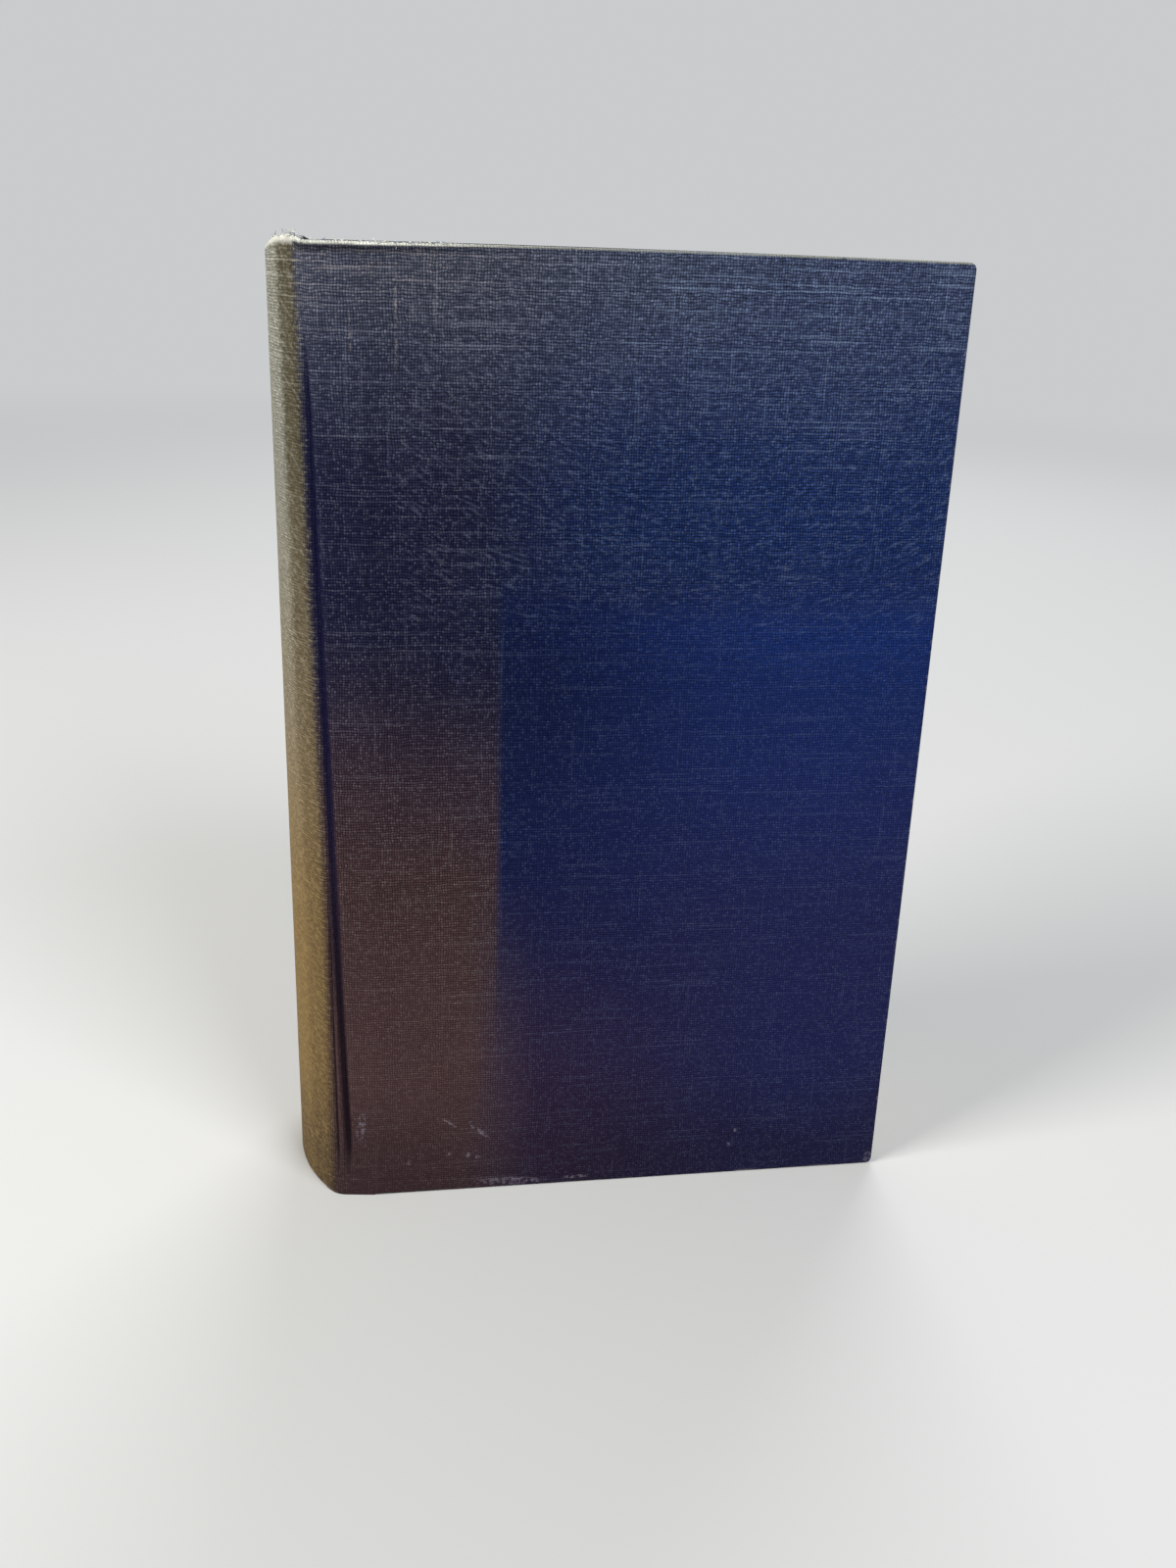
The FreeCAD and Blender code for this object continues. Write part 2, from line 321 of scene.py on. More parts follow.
fall_along = Vector((-math.cos(fall), math.sin(fall)))
fall_inward = Vector((math.sin(fall), math.cos(fall)))
joint_start = Vector((board_spine_x, -cover_face))
from_centre = joint_start + fall_inward * corner_radius - Vector((spine_centre, 0.0))
half_b = from_centre.dot(fall_along)
rest = from_centre.dot(from_centre) - (spine_radius - corner_radius) ** 2
fall_length = -half_b + math.sqrt(half_b**2 - rest)
corner = joint_start + fall_inward * corner_radius + fall_along * fall_length
spine_half_angle = math.atan2(-corner.y, spine_centre - corner.x)
corner_turn = math.pi / 2 - fall - spine_half_angle

arc_end = spine_radius * spine_half_angle
corner_end = arc_end + corner_radius * corner_turn
fall_end = corner_end + fall_length
fore_end = fall_end + fore_x - board_spine_x
print("cloth from crest to fore-edge:", round(fore_end, 2), "mm, board from", round(fall_end, 2))


def on_case(along):
    """The place of the cloth's outer face, and the direction in which it faces."""
    if along < arc_end:
        angle = along / spine_radius
        out = Vector((-math.cos(angle), -math.sin(angle)))
        return Vector((spine_centre, 0.0)) + out * spine_radius, out
    if along < corner_end:
        angle = spine_half_angle + (along - arc_end) / corner_radius
        out = Vector((-math.cos(angle), -math.sin(angle)))
        return corner + out * corner_radius, out
    if along < fall_end:
        return joint_start + fall_along * (fall_end - along), -fall_inward
    return Vector((board_spine_x + along - fall_end, -cover_face)), Vector((0.0, -1.0))


# %% [markdown]
# ## Creases of the joint
#
# Years of opening pressed a long slanting crease into the joint, and a shorter one beside it near
# the tail, with a ridge between them. They could be painted as dark lines, but a real hollow
# catches the light from every side, so the sheet itself is pressed in; the creases are also
# darkened in the cloth's colour, partly with painted shade. Both fade at their ends.

# %% Creases
crease_depth = 1.15
ridge_height = 0.3
cap_lift = 0.85
crest_wear = 1.5
board_bow = 0.35


def step_up(value, low, high):
    """A smooth step from nothing at low to one at high."""
    share = min(1.0, max(0.0, (value - low) / (high - low)))
    return share * share * (3 - 2 * share)


def crease_line(height):
    """How far along the cloth the long crease lies at a height."""
    at_tail, slant, start, reach = 32.4, 5.4, 7.0, 206.0
    return at_tail - slant * (height - start) / reach


def pleat_line(height):
    """The same for the short crease near the tail."""
    at_tail, slant, start, reach = 29.35, 0.7, 7.0, 88.0
    return at_tail - slant * (height - start) / reach


def pressed_in(along, height):
    """How strongly the cloth is pressed at a place, and how far it stands out on the ridge."""
    wander = 0.25 * noise.noise(Vector((0.0, height * 0.03, 4.0)))
    crease = crease_line(height) + wander
    pleat = pleat_line(height) + wander
    long_fade = step_up(height, 3.0, 20.0) * (1 - 0.9 * step_up(height, 198.0, 227.0))
    short_fade = step_up(height, 1.5, 16.0) * (1 - step_up(height, 70.0, 104.0))
    width = 0.9 + 0.3 * step_up(height, 20.0, 90.0)
    deep = long_fade * math.exp(-((along - crease) / width) ** 2)
    shallow = 0.6 * short_fade * math.exp(-((along - pleat) / 0.5) ** 2)
    ridge = short_fade * math.exp(-((along - (crease + pleat) / 2) / 0.7) ** 2)
    return deep + shallow, ridge


def head_lift(along, side):
    """How far the head edge stands above the case's height: bowed boards and a worn cap."""
    middle = 1 - ((along - 100.0) / 75.0) ** 2
    bowed = board_bow * middle if along > 20.0 else 0.0
    lumps = 1.0 + 0.25 * noise.noise(Vector((along * side * 0.5, 3.0, 2.0)))
    cap = cap_lift * step_up(along, 5.0, 20.0) * (1 - step_up(along, 24.0, 27.8))
    return bowed + cap * lumps - crest_wear * (1 - step_up(along, 1.0, 16.0))


# %% [markdown]
# ## The case cloth
#
# A binder cuts one sheet larger than the case, glues it over the boards, and folds what is left
# over round the edges onto their inner faces. The same is done here. A grid is the sheet, its rim
# is extruded ring by ring into the fold and the turn-in, and then each point is laid on the
# outline. The sheet is made in two halves that meet at the crest of the spine, since each half
# bends with one hinge.

# %% Helpers for sheets
def stations(start, *stretches):
    """Places in a row: each stretch gives its end and the number of steps that lead there."""
    places = [start]
    for end, steps in stretches:
        first = places[-1]
        places += [first + (end - first) * step / steps for step in range(1, steps + 1)]
    return places


def flat_sheet(across, up):
    """A grid whose columns and rows lie at two rows of places, in millimetres."""
    sheet = bmesh.new()
    columns = len(across) - 1
    rows = len(up) - 1
    bmesh.ops.create_grid(sheet, x_segments=columns, y_segments=rows, size=0.5)
    for vert in sheet.verts:
        column = round((vert.co.x + 0.5) * columns)
        row = round((vert.co.y + 0.5) * rows)
        vert.co = Vector((across[column], up[row], 0.0))
    return sheet


def write_flat_map(sheet, side):
    """Keep the flat places as the sheet's own map, in metres, for the weave to follow.

    The back's places count downwards from the crest, so that the weave runs on across it.
    """
    layer = sheet.loops.layers.uv.new("cloth")
    for face in sheet.faces:
        for loop in face.loops:
            loop[layer].uv = (-side * loop.vert.co.x * MM, loop.vert.co.y * MM)


def finish_piece(sheet, name, material, smooth=True):
    """Turn a mesh in millimetres into a piece in metres."""
    bmesh.ops.scale(sheet, vec=(MM, MM, MM), verts=sheet.verts)
    for face in sheet.faces:
        face.smooth = smooth
    data = bpy.data.meshes.new(name)
    sheet.to_mesh(data)
    sheet.free()
    data.materials.append(material)
    piece = bpy.data.objects.new(name, data)
    bpy.context.scene.collection.objects.link(piece)
    print(name, "faces", len(data.polygons))
    return piece


hinge_off_middle = 24.35
bend_from = -72.0
bend_to = -58.0


def bend_with_cover(piece, side, hinge_body):
    """Let a sheet turn smoothly between the pages and a cover.

    The side is -1 at the front and 1 at the back. A half turn has no shorter way round, and is
    then taken about the upward axis. The front cover opens the other way, so there the same bend
    is told from the cover to the pages.
    """
    hinge_y = side * hinge_off_middle
    on_pages = (bend_from * MM, hinge_y * MM, mid_height * MM)
    on_cover = (bend_to * MM, hinge_y * MM, mid_height * MM)
    if side > 0:
        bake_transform(piece, "text_block", hinge_body, start=on_pages, end=on_cover)
    else:
        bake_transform(piece, hinge_body, "text_block", start=on_cover, end=on_pages)


# %% Sizes of the folds
rim = 0.9
blunt = 0.6
turn_in = 13.5
cloth_thickness = 0.4
card_thickness = 0.8
board_thickness = 3.0
inlay_end = arc_end - 1.9
bend_rings = 4
flat_rings = 7


def fold_depth(along):
    """How far the cloth goes round what it wraps: the spine's card, the joint or the board."""
    off_card = step_up(along, inlay_end - 0.4, inlay_end + 0.8)
    on_board = step_up(along, fall_end - 1.0, fall_end - 0.4)
    return 2 * cloth_thickness + card_thickness * (1 - off_card) + board_thickness * on_board


def fold_ring(number, depth):
    """One ring of the fold: how far it stands outside the sheet's rim, and how deep it lies."""
    small = min(rim, depth / 2)
    quarter = math.pi / 2
    if number <= bend_rings:
        turn = quarter * number / bend_rings
        return rim - small + small * math.sin(turn), small * (1 - math.cos(turn))
    if number <= 2 * bend_rings:
        turn = quarter * (number - bend_rings) / bend_rings
        return rim - small + small * math.cos(turn), depth - small + small * math.sin(turn)
    inside = (number - 2 * bend_rings) / flat_rings
    return (rim - small) * (1 - inside) - turn_in * inside, depth


ring_count = 2 * bend_rings + flat_rings
ring_run = [0.0, 0.35, 0.7, 1.05, 1.4, 3.1, 3.45, 3.8, 4.15, 6.1, 8.0, 9.9, 11.8, 13.7, 15.6, 17.5]
print("turn-in:", turn_in, "mm, folded in", ring_count, "rings")


# %% Case cloth: corners and folds
def mark_folds(sheet, across_end, tail_start, head_end):
    """Blunt the corners, and keep at each point its flat place and the way it is folded."""
    way = sheet.verts.layers.float_vector["way"]
    start = sheet.verts.layers.float_vector["start"]
    for vert in sheet.verts:
        side_x = max(0.0, vert.co.x - (across_end - blunt)) / blunt
        low_y = max(0.0, tail_start + blunt - vert.co.y) / blunt
        high_y = max(0.0, vert.co.y - (head_end - blunt)) / blunt
        side_y = high_y - low_y
        if side_x > 0 and side_y != 0:
            shrink = max(side_x, abs(side_y)) / math.hypot(side_x, side_y)
            vert.co.x += (side_x * shrink - side_x) * blunt
            vert.co.y += (side_y * shrink - side_y) * blunt
            vert[way] = Vector((side_x, side_y, 0.0)).normalized()
        elif side_x > 0:
            vert[way] = Vector((1.0, 0.0, 0.0))
        else:
            vert[way] = Vector((0.0, math.copysign(1.0, side_y), 0.0))
        vert[start] = vert.co.copy()


def extrude_folds(sheet):
    """Draw the rim out ring by ring on three sides; the edge at the crest stays as it is."""
    way = sheet.verts.layers.float_vector["way"]
    start = sheet.verts.layers.float_vector["start"]
    ring = sheet.verts.layers.int["ring"]
    edges = [edge for edge in sheet.edges
             if edge.is_boundary and max(vert.co.x for vert in edge.verts) > 0.01]
    for number in range(1, ring_count + 1):
        made = bmesh.ops.extrude_edge_only(sheet, edges=edges)["geom"]
        fresh = {item for item in made if isinstance(item, bmesh.types.BMVert)}
        for vert in fresh:
            vert[ring] = number
            vert.co = vert[start] + vert[way] * ring_run[number]
        edges = [item for item in made
                 if isinstance(item, bmesh.types.BMEdge) and set(item.verts) <= fresh]


# %% Case cloth: laid round the boards
def fold_over(along, height, way, number):
    """Where a point of a fold lies along the case and up it, and how deep under its face."""
    out, depth = fold_ring(number, fold_depth(along))
    along += way.x * out
    height += way.y * out
    inward = rim - out
    if number > 2 * bend_rings and inward > rim + blunt:
        if abs(way.x) > 0.01:
            along = fore_end - inward
            height = min(case_height - inward, max(inward, height))
        if abs(way.y) > 0.01:
            height = inward if way.y < 0 else case_height - inward
            along = min(along, fore_end - inward)
    return along, height, depth


def lay_on_case(sheet, side):
    """Bring each point of the flat sheet to its place, and keep how it is creased."""
    way = sheet.verts.layers.float_vector["way"]
    start = sheet.verts.layers.float_vector["start"]
    ring = sheet.verts.layers.int["ring"]
    crease_layer = sheet.verts.layers.float["crease"]
    ridge_layer = sheet.verts.layers.float["ridge"]
    for vert in sheet.verts:
        along, height = vert[start].x, vert[start].y
        depth = 0.0
        if vert[ring]:
            along, height, depth = fold_over(along, height, vert[way], vert[ring])
        pressed, ridge = pressed_in(along, height)
        press = crease_depth * pressed - ridge_height * ridge
        vert[crease_layer] = pressed
        vert[ridge_layer] = ridge
        place, out_way = on_case(along)
        ripple = 0.05 * noise.noise(Vector((along * side * 0.05, height * 0.05, 7.0)))
        place = place - out_way * (depth + press + ripple)
        near_head = 200.0 if along > 30.0 else case_height - 4.0
        height += head_lift(along, side) * step_up(height, near_head, case_height)
        vert.co = Vector((place.x, -side * place.y, height))


# %% Case cloth: faces and thickness
def face_outwards(sheet, side):
    """Merge doubles, and turn the faces so that the cover's middle looks away from the pages."""
    bmesh.ops.remove_doubles(sheet, verts=sheet.verts, dist=0.004)
    bmesh.ops.dissolve_degenerate(sheet, dist=0.002, edges=sheet.edges)
    if side > 0:
        bmesh.ops.reverse_faces(sheet, faces=sheet.faces)
    outside = [face for face in sheet.faces if face.calc_center_median().z > 20]
    middle = Vector((20.0, side * cover_face, 110.0))
    middle_face = min(outside, key=lambda face: (face.calc_center_median() - middle).length)
    if middle_face.normal.y * side < 0:
        bmesh.ops.reverse_faces(sheet, faces=sheet.faces)


def thicken_cloth(piece):
    """Give the cloth its thickness; the cut walls at the crest stay flat, so no seam shows."""
    solid = piece.modifiers.new("thickness", "SOLIDIFY")
    solid.thickness = cloth_thickness * MM
    solid.offset = -1.0
    finished = piece.evaluated_get(bpy.context.evaluated_depsgraph_get())
    whole = bpy.data.meshes.new_from_object(finished)
    piece.modifiers.clear()
    piece.data = whole
    for polygon in whole.polygons:
        at_crest = all(abs(whole.vertices[index].co.y) < 0.001 * MM for index in polygon.vertices)
        polygon.use_smooth = not at_crest


# %% Case cloth: one half
def case_half(name, side, material, hinge_body):
    """One half of the case cloth; the side is -1 at the front and 1 at the back."""
    across = stations(0.0, (24.0, 20), (33.5, 40), (39.0, 10), (40.0, 5), (46.0, 5), (60.0, 7),
                      (170.0, 50), (fore_end - rim, 8))
    up = stations(rim, (4.0, 6), (30.0, 15), (205.0, 88), (231.0, 15), (case_height - rim, 6))
    sheet = flat_sheet(across, up)
    layers = sheet.verts.layers
    layers.float_vector.new("way")
    layers.float_vector.new("start")
    layers.int.new("ring")
    layers.float.new("crease")
    layers.float.new("ridge")
    mark_folds(sheet, across[-1], up[0], up[-1])
    extrude_folds(sheet)
    write_flat_map(sheet, side)
    lay_on_case(sheet, side)
    face_outwards(sheet, side)
    piece = finish_piece(sheet, name, material)
    thicken_cloth(piece)
    word = hinge_body.split("_")[0]
    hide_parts("spine_cloth", word + "_joint_cloth", word + "_cover_cloth")
    bend_with_cover(piece, side, hinge_body)


# %% [markdown]
# ## Weave of the book cloth
#
# Book cloth is a plain weave, about sixteen threads to the centimetre here, filled and dyed.
# The threads could be modelled one by one, but there would be a quarter of a million crossings.
# A node group draws them instead: each crossing is a small hump, with the upright or the level
# thread on top in turn, and long streaks of noise make some threads thicker, as in linen.

# %% Weave group
weave, weave_in, weave_out = new_group(
    "linen weave",
    [("Vector", "NodeSocketVector"), ("Pitch", "NodeSocketFloat")],
    [("Height", "NodeSocketFloat"), ("Level Slubs", "NodeSocketFloat"),
     ("Upright Slubs", "NodeSocketFloat"), ("Dashes", "NodeSocketFloat"),
     ("Specks", "NodeSocketFloat")])

parts = split_axes(weave, weave_in["Vector"])
slow_sway = cloudy(weave, weave_in["Vector"], (50.0, 50.0, 0.0))
crossing = []
numbers = []
for axis, shift in ((0, 21.0), (1, 33.0)):
    quick_sway = cloudy(weave, weave_in["Vector"], (330.0, 420.0, 0.0), 1.0, shift)
    threads = calc(weave, "DIVIDE", parts[axis], weave_in["Pitch"])
    threads = scaled(weave, slow_sway, 1.6 - axis * 3.0, threads)
    threads = scaled(weave, quick_sway, 1.3, threads)
    crossing.append(calc(weave, "SINE", product(weave, threads, math.pi)))
    numbers.append(calc(weave, "FLOOR", threads))
upright = calc(weave, "ABSOLUTE", crossing[0])
level = calc(weave, "ABSOLUTE", crossing[1])
on_top = calc(weave, "GREATER_THAN", product(weave, crossing[0], crossing[1]), 0.0)
upright_hump = product(weave, upright, scaled(weave, level, 0.6, 0.4))
level_hump = product(weave, level, scaled(weave, upright, 0.6, 0.4))
under = product(weave, level_hump, without(weave, on_top))
feed(weave, weave_out["Height"], scaled(weave, upright_hump, on_top, under))

level_streaks = cloudy(weave, weave_in["Vector"], (38.0, 1500.0, 0.0), 1.0, 3.0)
upright_streaks = cloudy(weave, weave_in["Vector"], (1500.0, 42.0, 0.0), 1.0, 9.0)
short_streaks = cloudy(weave, weave_in["Vector"], (620.0, 1350.0, 0.0), 1.0, 17.0)
each_crossing = weave.nodes.new("ShaderNodeCombineXYZ")
feed(weave, each_crossing.inputs[0], numbers[0])
feed(weave, each_crossing.inputs[1], numbers[1])
chance = weave.nodes.new("ShaderNodeTexWhiteNoise")
chance.noise_dimensions = "2D"
feed(weave, chance.inputs["Vector"], each_crossing.outputs[0])
hump = calc(weave, "POWER", weave_out["Height"].links[0].from_socket, 1.5)
lucky = rise(weave, chance.outputs["Value"], 0.55, 1.0)
feed(weave, weave_out["Specks"], product(weave, lucky, hump))
feed(weave, weave_out["Level Slubs"], rise(weave, level_streaks, 0.56, 0.72))
feed(weave, weave_out["Upright Slubs"], rise(weave, upright_streaks, 0.64, 0.76))
feed(weave, weave_out["Dashes"], rise(weave, short_streaks, 0.40, 0.72))
print("weave group:", len(weave.nodes), "nodes")

# %% [markdown]
# ## Colour of the book cloth
#
# The cloth was dyed navy. Light has bleached the spine to tan, browned the strip beside the joint
# and greyed the head, while a smaller book that leaned against the lower front kept its own
# rectangle dark. Each of these is a share between nothing and one, drawn from the place on the
# sheet, and the dyes are laid over one another by those shares. Some of the colour is painted
# light as well: the navy lightens towards the head, the grey head carries a painted sheen, and the
# spine darkens towards the joint with painted shade.

# %% Mark group
mark, mark_in, mark_out = new_group(
    "scuff mark",
    [("Along", "NodeSocketFloat"), ("Height", "NodeSocketFloat"), ("Grain", "NodeSocketFloat"),
     ("Centre Along", "NodeSocketFloat"), ("Centre Height", "NodeSocketFloat"),
     ("Half Length", "NodeSocketFloat"), ("Half Width", "NodeSocketFloat"),
     ("Slope", "NodeSocketFloat")],
    [("Mask", "NodeSocketFloat")])
from_along = calc(mark, "SUBTRACT", mark_in["Along"], mark_in["Centre Along"])
from_height = calc(mark, "SUBTRACT", mark_in["Height"], mark_in["Centre Height"])
leaned = product(mark, from_along, mark_in["Slope"])
sideways = calc(mark, "DIVIDE", calc(mark, "SUBTRACT", from_height, leaned), mark_in["Half Width"])
lengthways = calc(mark, "DIVIDE", from_along, mark_in["Half Length"])
squares = calc(mark, "ADD", calc(mark, "POWER", calc(mark, "ABSOLUTE", sideways), 2.0),
               calc(mark, "POWER", calc(mark, "ABSOLUTE", lengthways), 2.0))
inside_mark = without(mark, rise(mark, squares, 0.1, 1.0))
feed(mark, mark_out["Mask"], product(mark, inside_mark, mark_in["Grain"]))
print("mark group:", len(mark.nodes), "nodes")

# %% Dyes, thread colours and the near black of painted shade
upper_navy = linear(20, 49, 116)
lower_navy = linear(34, 37, 86)
deep_navy = linear(10, 21, 66)
plum = linear(58, 39, 64)
faded_navy = linear(46, 72, 124)
violet = linear(31, 33, 68)
brown = linear(86, 62, 62)
grey = linear(96, 103, 122)
olive = linear(118, 95, 59)
tan = linear(152, 124, 75)
stone = linear(158, 158, 144)
bark = linear(80, 73, 53)
# Dark colours of the creases, partly painted shade; the plum one also darkens the spine beside the joint and
# the cloth towards the tail.
crease_navy = linear(13, 13, 45)
crease_plum = linear(28, 18, 28)
# Near black: painted shade in the hollows between threads and in the wrinkles' furrows, and other darkening.
shade_between = linear(3, 4, 13)
# Pale thread colours, used for worn threads and also for painted highlights on the thread tops and the
# wrinkles' ridges.
bare_thread = linear(236, 236, 225)
straw_thread = linear(210, 180, 124)
pale_thread = linear(134, 153, 186)
sand_thread = linear(165, 153, 150)
chalk = linear(150, 141, 156)


# %% Cloth group: places on the sheet
thread_pitch = 0.64
patch_left = 69.3
patch_top = 158.5
spine_edge_at_tail = 29.2

cloth, cloth_in, cloth_out = new_group(
    "faded book cloth",
    [("Vector", "NodeSocketVector"), ("Crease", "NodeSocketFloat"),
     ("Ridge", "NodeSocketFloat"), ("Patch", "NodeSocketFloat")],
    [("Color", "NodeSocketColor"), ("Relief", "NodeSocketFloat")])
place = cloth_in["Vector"]
place_parts = split_axes(cloth, place)
along = product(cloth, calc(cloth, "ABSOLUTE", place_parts[0]), 1000.0)
height = product(cloth, place_parts[1], 1000.0)
clouds = cloudy(cloth, place, (22.0, 22.0, 0.0), 3.0)
drift = scaled(cloth, clouds, 30.0, -15.0)
drifted = calc(cloth, "ADD", height, drift)

# %% Cloth group: the navy, lighter towards the head partly by painted light, the dark patch and the strip beside the joint
# The navy lightens towards the head: partly faded dye, partly painted light on the upper cover.
dye_and_light = mix(cloth, rise(cloth, drifted, 60.0, 175.0), lower_navy, upper_navy)
leftward = without(cloth, rise(cloth, along, 66.0, 150.0))
dye_and_light = mix(cloth, product(cloth, leftward, 0.75), dye_and_light, deep_navy)
to_tail = without(cloth, rise(cloth, drifted, 5.0, 105.0))
dye_and_light = mix(cloth, product(cloth, to_tail, leftward), dye_and_light, plum)

from_patch = calc(cloth, "SUBTRACT", along, scaled(cloth, clouds, 1.4, patch_left))
soft_share = rise(cloth, height, 95.0, 25.0)
past_edge = calc(cloth, "ADD",
                 product(cloth, rise(cloth, from_patch, -1.4, 1.4), without(cloth, soft_share)),
                 product(cloth, rise(cloth, from_patch, -9.0, 13.0), soft_share))
under_top = calc(cloth, "SUBTRACT", scaled(cloth, clouds, 6.0, patch_top), height)
widening = product(cloth, rise(cloth, along, 72.0, 150.0), 9.0)
below_top = rise(cloth, under_top, calc(cloth, "SUBTRACT", -5.0, widening),
                 calc(cloth, "ADD", 4.0, widening))
below_top = product(cloth, below_top, cloth_in["Patch"])
patch = product(cloth, past_edge, below_top)

strip = without(cloth, rise(cloth, calc(cloth, "ADD", along, drift), 58.0, 97.0))
strip = calc(cloth, "MAXIMUM", strip, product(cloth, below_top, 0.9))
strip = product(cloth, strip, without(cloth, patch))
dye_and_light = mix(cloth, product(cloth, without(cloth, patch), 0.22), dye_and_light, faded_navy)
browned = without(cloth, rise(cloth, drifted, 84.0, 160.0))
colour = mix(cloth, strip, dye_and_light, mix(cloth, browned, violet, brown))

top_left = product(cloth, patch, without(cloth, rise(cloth, along, 74.0, 120.0)),
                   rise(cloth, drifted, 80.0, 145.0), 0.3)
colour = mix(cloth, top_left, colour, shade_between)

# %% Cloth group: the greyed head with painted sheen, and the bleached spine with painted shade towards the joint
# The head is greyer: partly faded cloth, partly a painted sheen of light on the upper cover.
head_fade_and_sheen = calc(cloth, "POWER", rise(cloth, drifted, 170.0, 248.0), 1.5)
greyed = scaled(cloth, rise(cloth, along, 30.0, 170.0), -0.35, 0.95)
colour = mix(cloth, product(cloth, head_fade_and_sheen, greyed), colour, grey)

weave_here = place_group(cloth, weave, Vector=place, Pitch=thread_pitch * MM)
turn_line = calc(cloth, "MAXIMUM", calc(cloth, "SUBTRACT", height, 95.0), 0.0)
spine_edge = scaled(cloth, turn_line, -0.024, spine_edge_at_tail)
single_threads = scaled(cloth, rise(cloth, height, 90.0, 200.0), 1.0, 0.3)
ragged = scaled(cloth, weave_here["Dashes"], single_threads, spine_edge)
from_edge = calc(cloth, "SUBTRACT", along, ragged)
on_spine = without(cloth, rise(cloth, from_edge, -3.2, 0.4))
low = without(cloth, rise(cloth, drifted, 60.0, 205.0))
# Across the spine the cloth darkens from the crest towards the joint: partly bleaching, partly painted shade
# on the side that the light from the left reaches less.
inner = rise(cloth, scaled(cloth, drift, 0.15, from_edge), -13.5, -8.0)
inner = product(cloth, inner, scaled(cloth, low, -0.30, 1.0))
spine_fade_and_shade = mix(cloth, inner, mix(cloth, low, stone, tan), mix(cloth, low, bark, olive))
# A darker band on the spine beside the joint: painted shade.
near_edge = product(cloth, rise(cloth, from_edge, -5.5, -0.5),
                    scaled(cloth, low, -0.2, 0.5))
spine_fade_and_shade = mix(cloth, near_edge, spine_fade_and_shade, crease_plum)
colour = mix(cloth, on_spine, colour, spine_fade_and_shade)
colour = mix(cloth, product(cloth, cloth_in["Ridge"], 0.6), colour, brown)
# The cloth darkens towards the tail.
darker_to_tail = product(cloth, rise(cloth, drifted, 40.0, 0.0), 0.5)
colour = mix(cloth, darker_to_tail, colour, crease_plum)

# %% Cloth group: painted shade in the hollows between threads, and pale threads, partly worn and partly painted highlights
calm = calc(cloth, "MAXIMUM", product(cloth, patch, 0.42),
            product(cloth, inner, on_spine, without(cloth, low), 0.6))
handled = product(cloth, to_tail, without(cloth, on_spine), 0.45)
open_weave = without(cloth, calc(cloth, "MAXIMUM", calm, handled))
dotted = product(cloth, weave_here["Height"], weave_here["Dashes"])
lit = scaled(cloth, weave_here["Height"], 0.55, product(cloth, dotted, 0.35))
# Painted shade in the hollows between the threads.
gap = product(cloth, calc(cloth, "SUBTRACT", 0.88, lit),
              scaled(cloth, on_spine, -0.25, 1.0), open_weave)
colour = mix(cloth, gap, colour, shade_between)

head_left = product(cloth, head_fade_and_sheen, without(cloth, rise(cloth, along, 50.0, 120.0)))
strip_warmth = scaled(cloth, browned, 0.6, 0.4)
warmed = calc(cloth, "MAXIMUM", product(cloth, strip, strip_warmth), head_left)
light = mix(cloth, on_spine, mix(cloth, warmed, pale_thread, sand_thread),
            mix(cloth, low, bare_thread, straw_thread))
greyer = scaled(cloth, head_fade_and_sheen, 0.15, 0.03)
share = scaled(cloth, on_spine, 0.16, greyer)
# Pale dashes on the thread tops: partly worn threads, partly painted highlights. The specks are painted
# glints on single crossings.
colour = mix(cloth, product(cloth, dotted, share, open_weave), colour, light)
share = scaled(cloth, head_fade_and_sheen, 0.24, 0.16)
colour = mix(cloth, product(cloth, weave_here["Specks"], share, open_weave), colour, light)
slubs = calc(cloth, "MAXIMUM", weave_here["Level Slubs"],
             product(cloth, weave_here["Upright Slubs"], 0.8))
slubs = product(cloth, slubs, scaled(cloth, weave_here["Height"], 0.8, 0.2))
share = scaled(cloth, head_fade_and_sheen, 0.42, 0.10)
colour = mix(cloth, product(cloth, slubs, share, open_weave), colour, light)

# %% Cloth group: fine wrinkles, in arcs over the upper board and slanting on the spine
from_arcs = cloth.nodes.new("ShaderNodeVectorMath")
from_arcs.operation = "SUBTRACT"
feed(cloth, from_arcs.inputs[0], place)
from_arcs.inputs[1].default_value = (0.108, 0.285, 0.0)
arc_parts = split_axes(cloth, from_arcs.outputs[0])
arc_reach = cloth.nodes.new("ShaderNodeVectorMath")
arc_reach.operation = "LENGTH"
feed(cloth, arc_reach.inputs[0], from_arcs.outputs[0])
arcs = cloth.nodes.new("ShaderNodeCombineXYZ")
arc_angle = calc(cloth, "ARCTAN2", arc_parts[0], arc_parts[1])
feed(cloth, arcs.inputs[0], product(cloth, arc_angle, 0.1))
feed(cloth, arcs.inputs[1], arc_reach.outputs["Value"])
arc_lines = cloudy(cloth, arcs.outputs[0], (380.0, 1250.0, 0.0), 2.0, 6.0)
spine_lines = slanted(cloth, place, math.radians(-32), 0.0045, 0.0011, 3.0)
over_board = product(cloth, rise(cloth, height, 100.0, 165.0), rise(cloth, along, 34.0, 48.0))
wrinkles = calc(cloth, "ADD", product(cloth, arc_lines, over_board),
                product(cloth, spine_lines, on_spine))
# Painted highlights on the wrinkles' ridges.
ridge_highlight = product(cloth, rise(cloth, wrinkles, 0.54, 0.72), 0.10)
colour = mix(cloth, ridge_highlight, colour, light)
# Painted shade in the wrinkles' furrows.
furrow_shade = product(cloth, rise(cloth, wrinkles, 0.45, 0.30),
                 calc(cloth, "MAXIMUM", over_board,
                      product(cloth, on_spine, scaled(cloth, low, -0.7, 1.0))), 0.21)
colour = mix(cloth, furrow_shade, colour, shade_between)

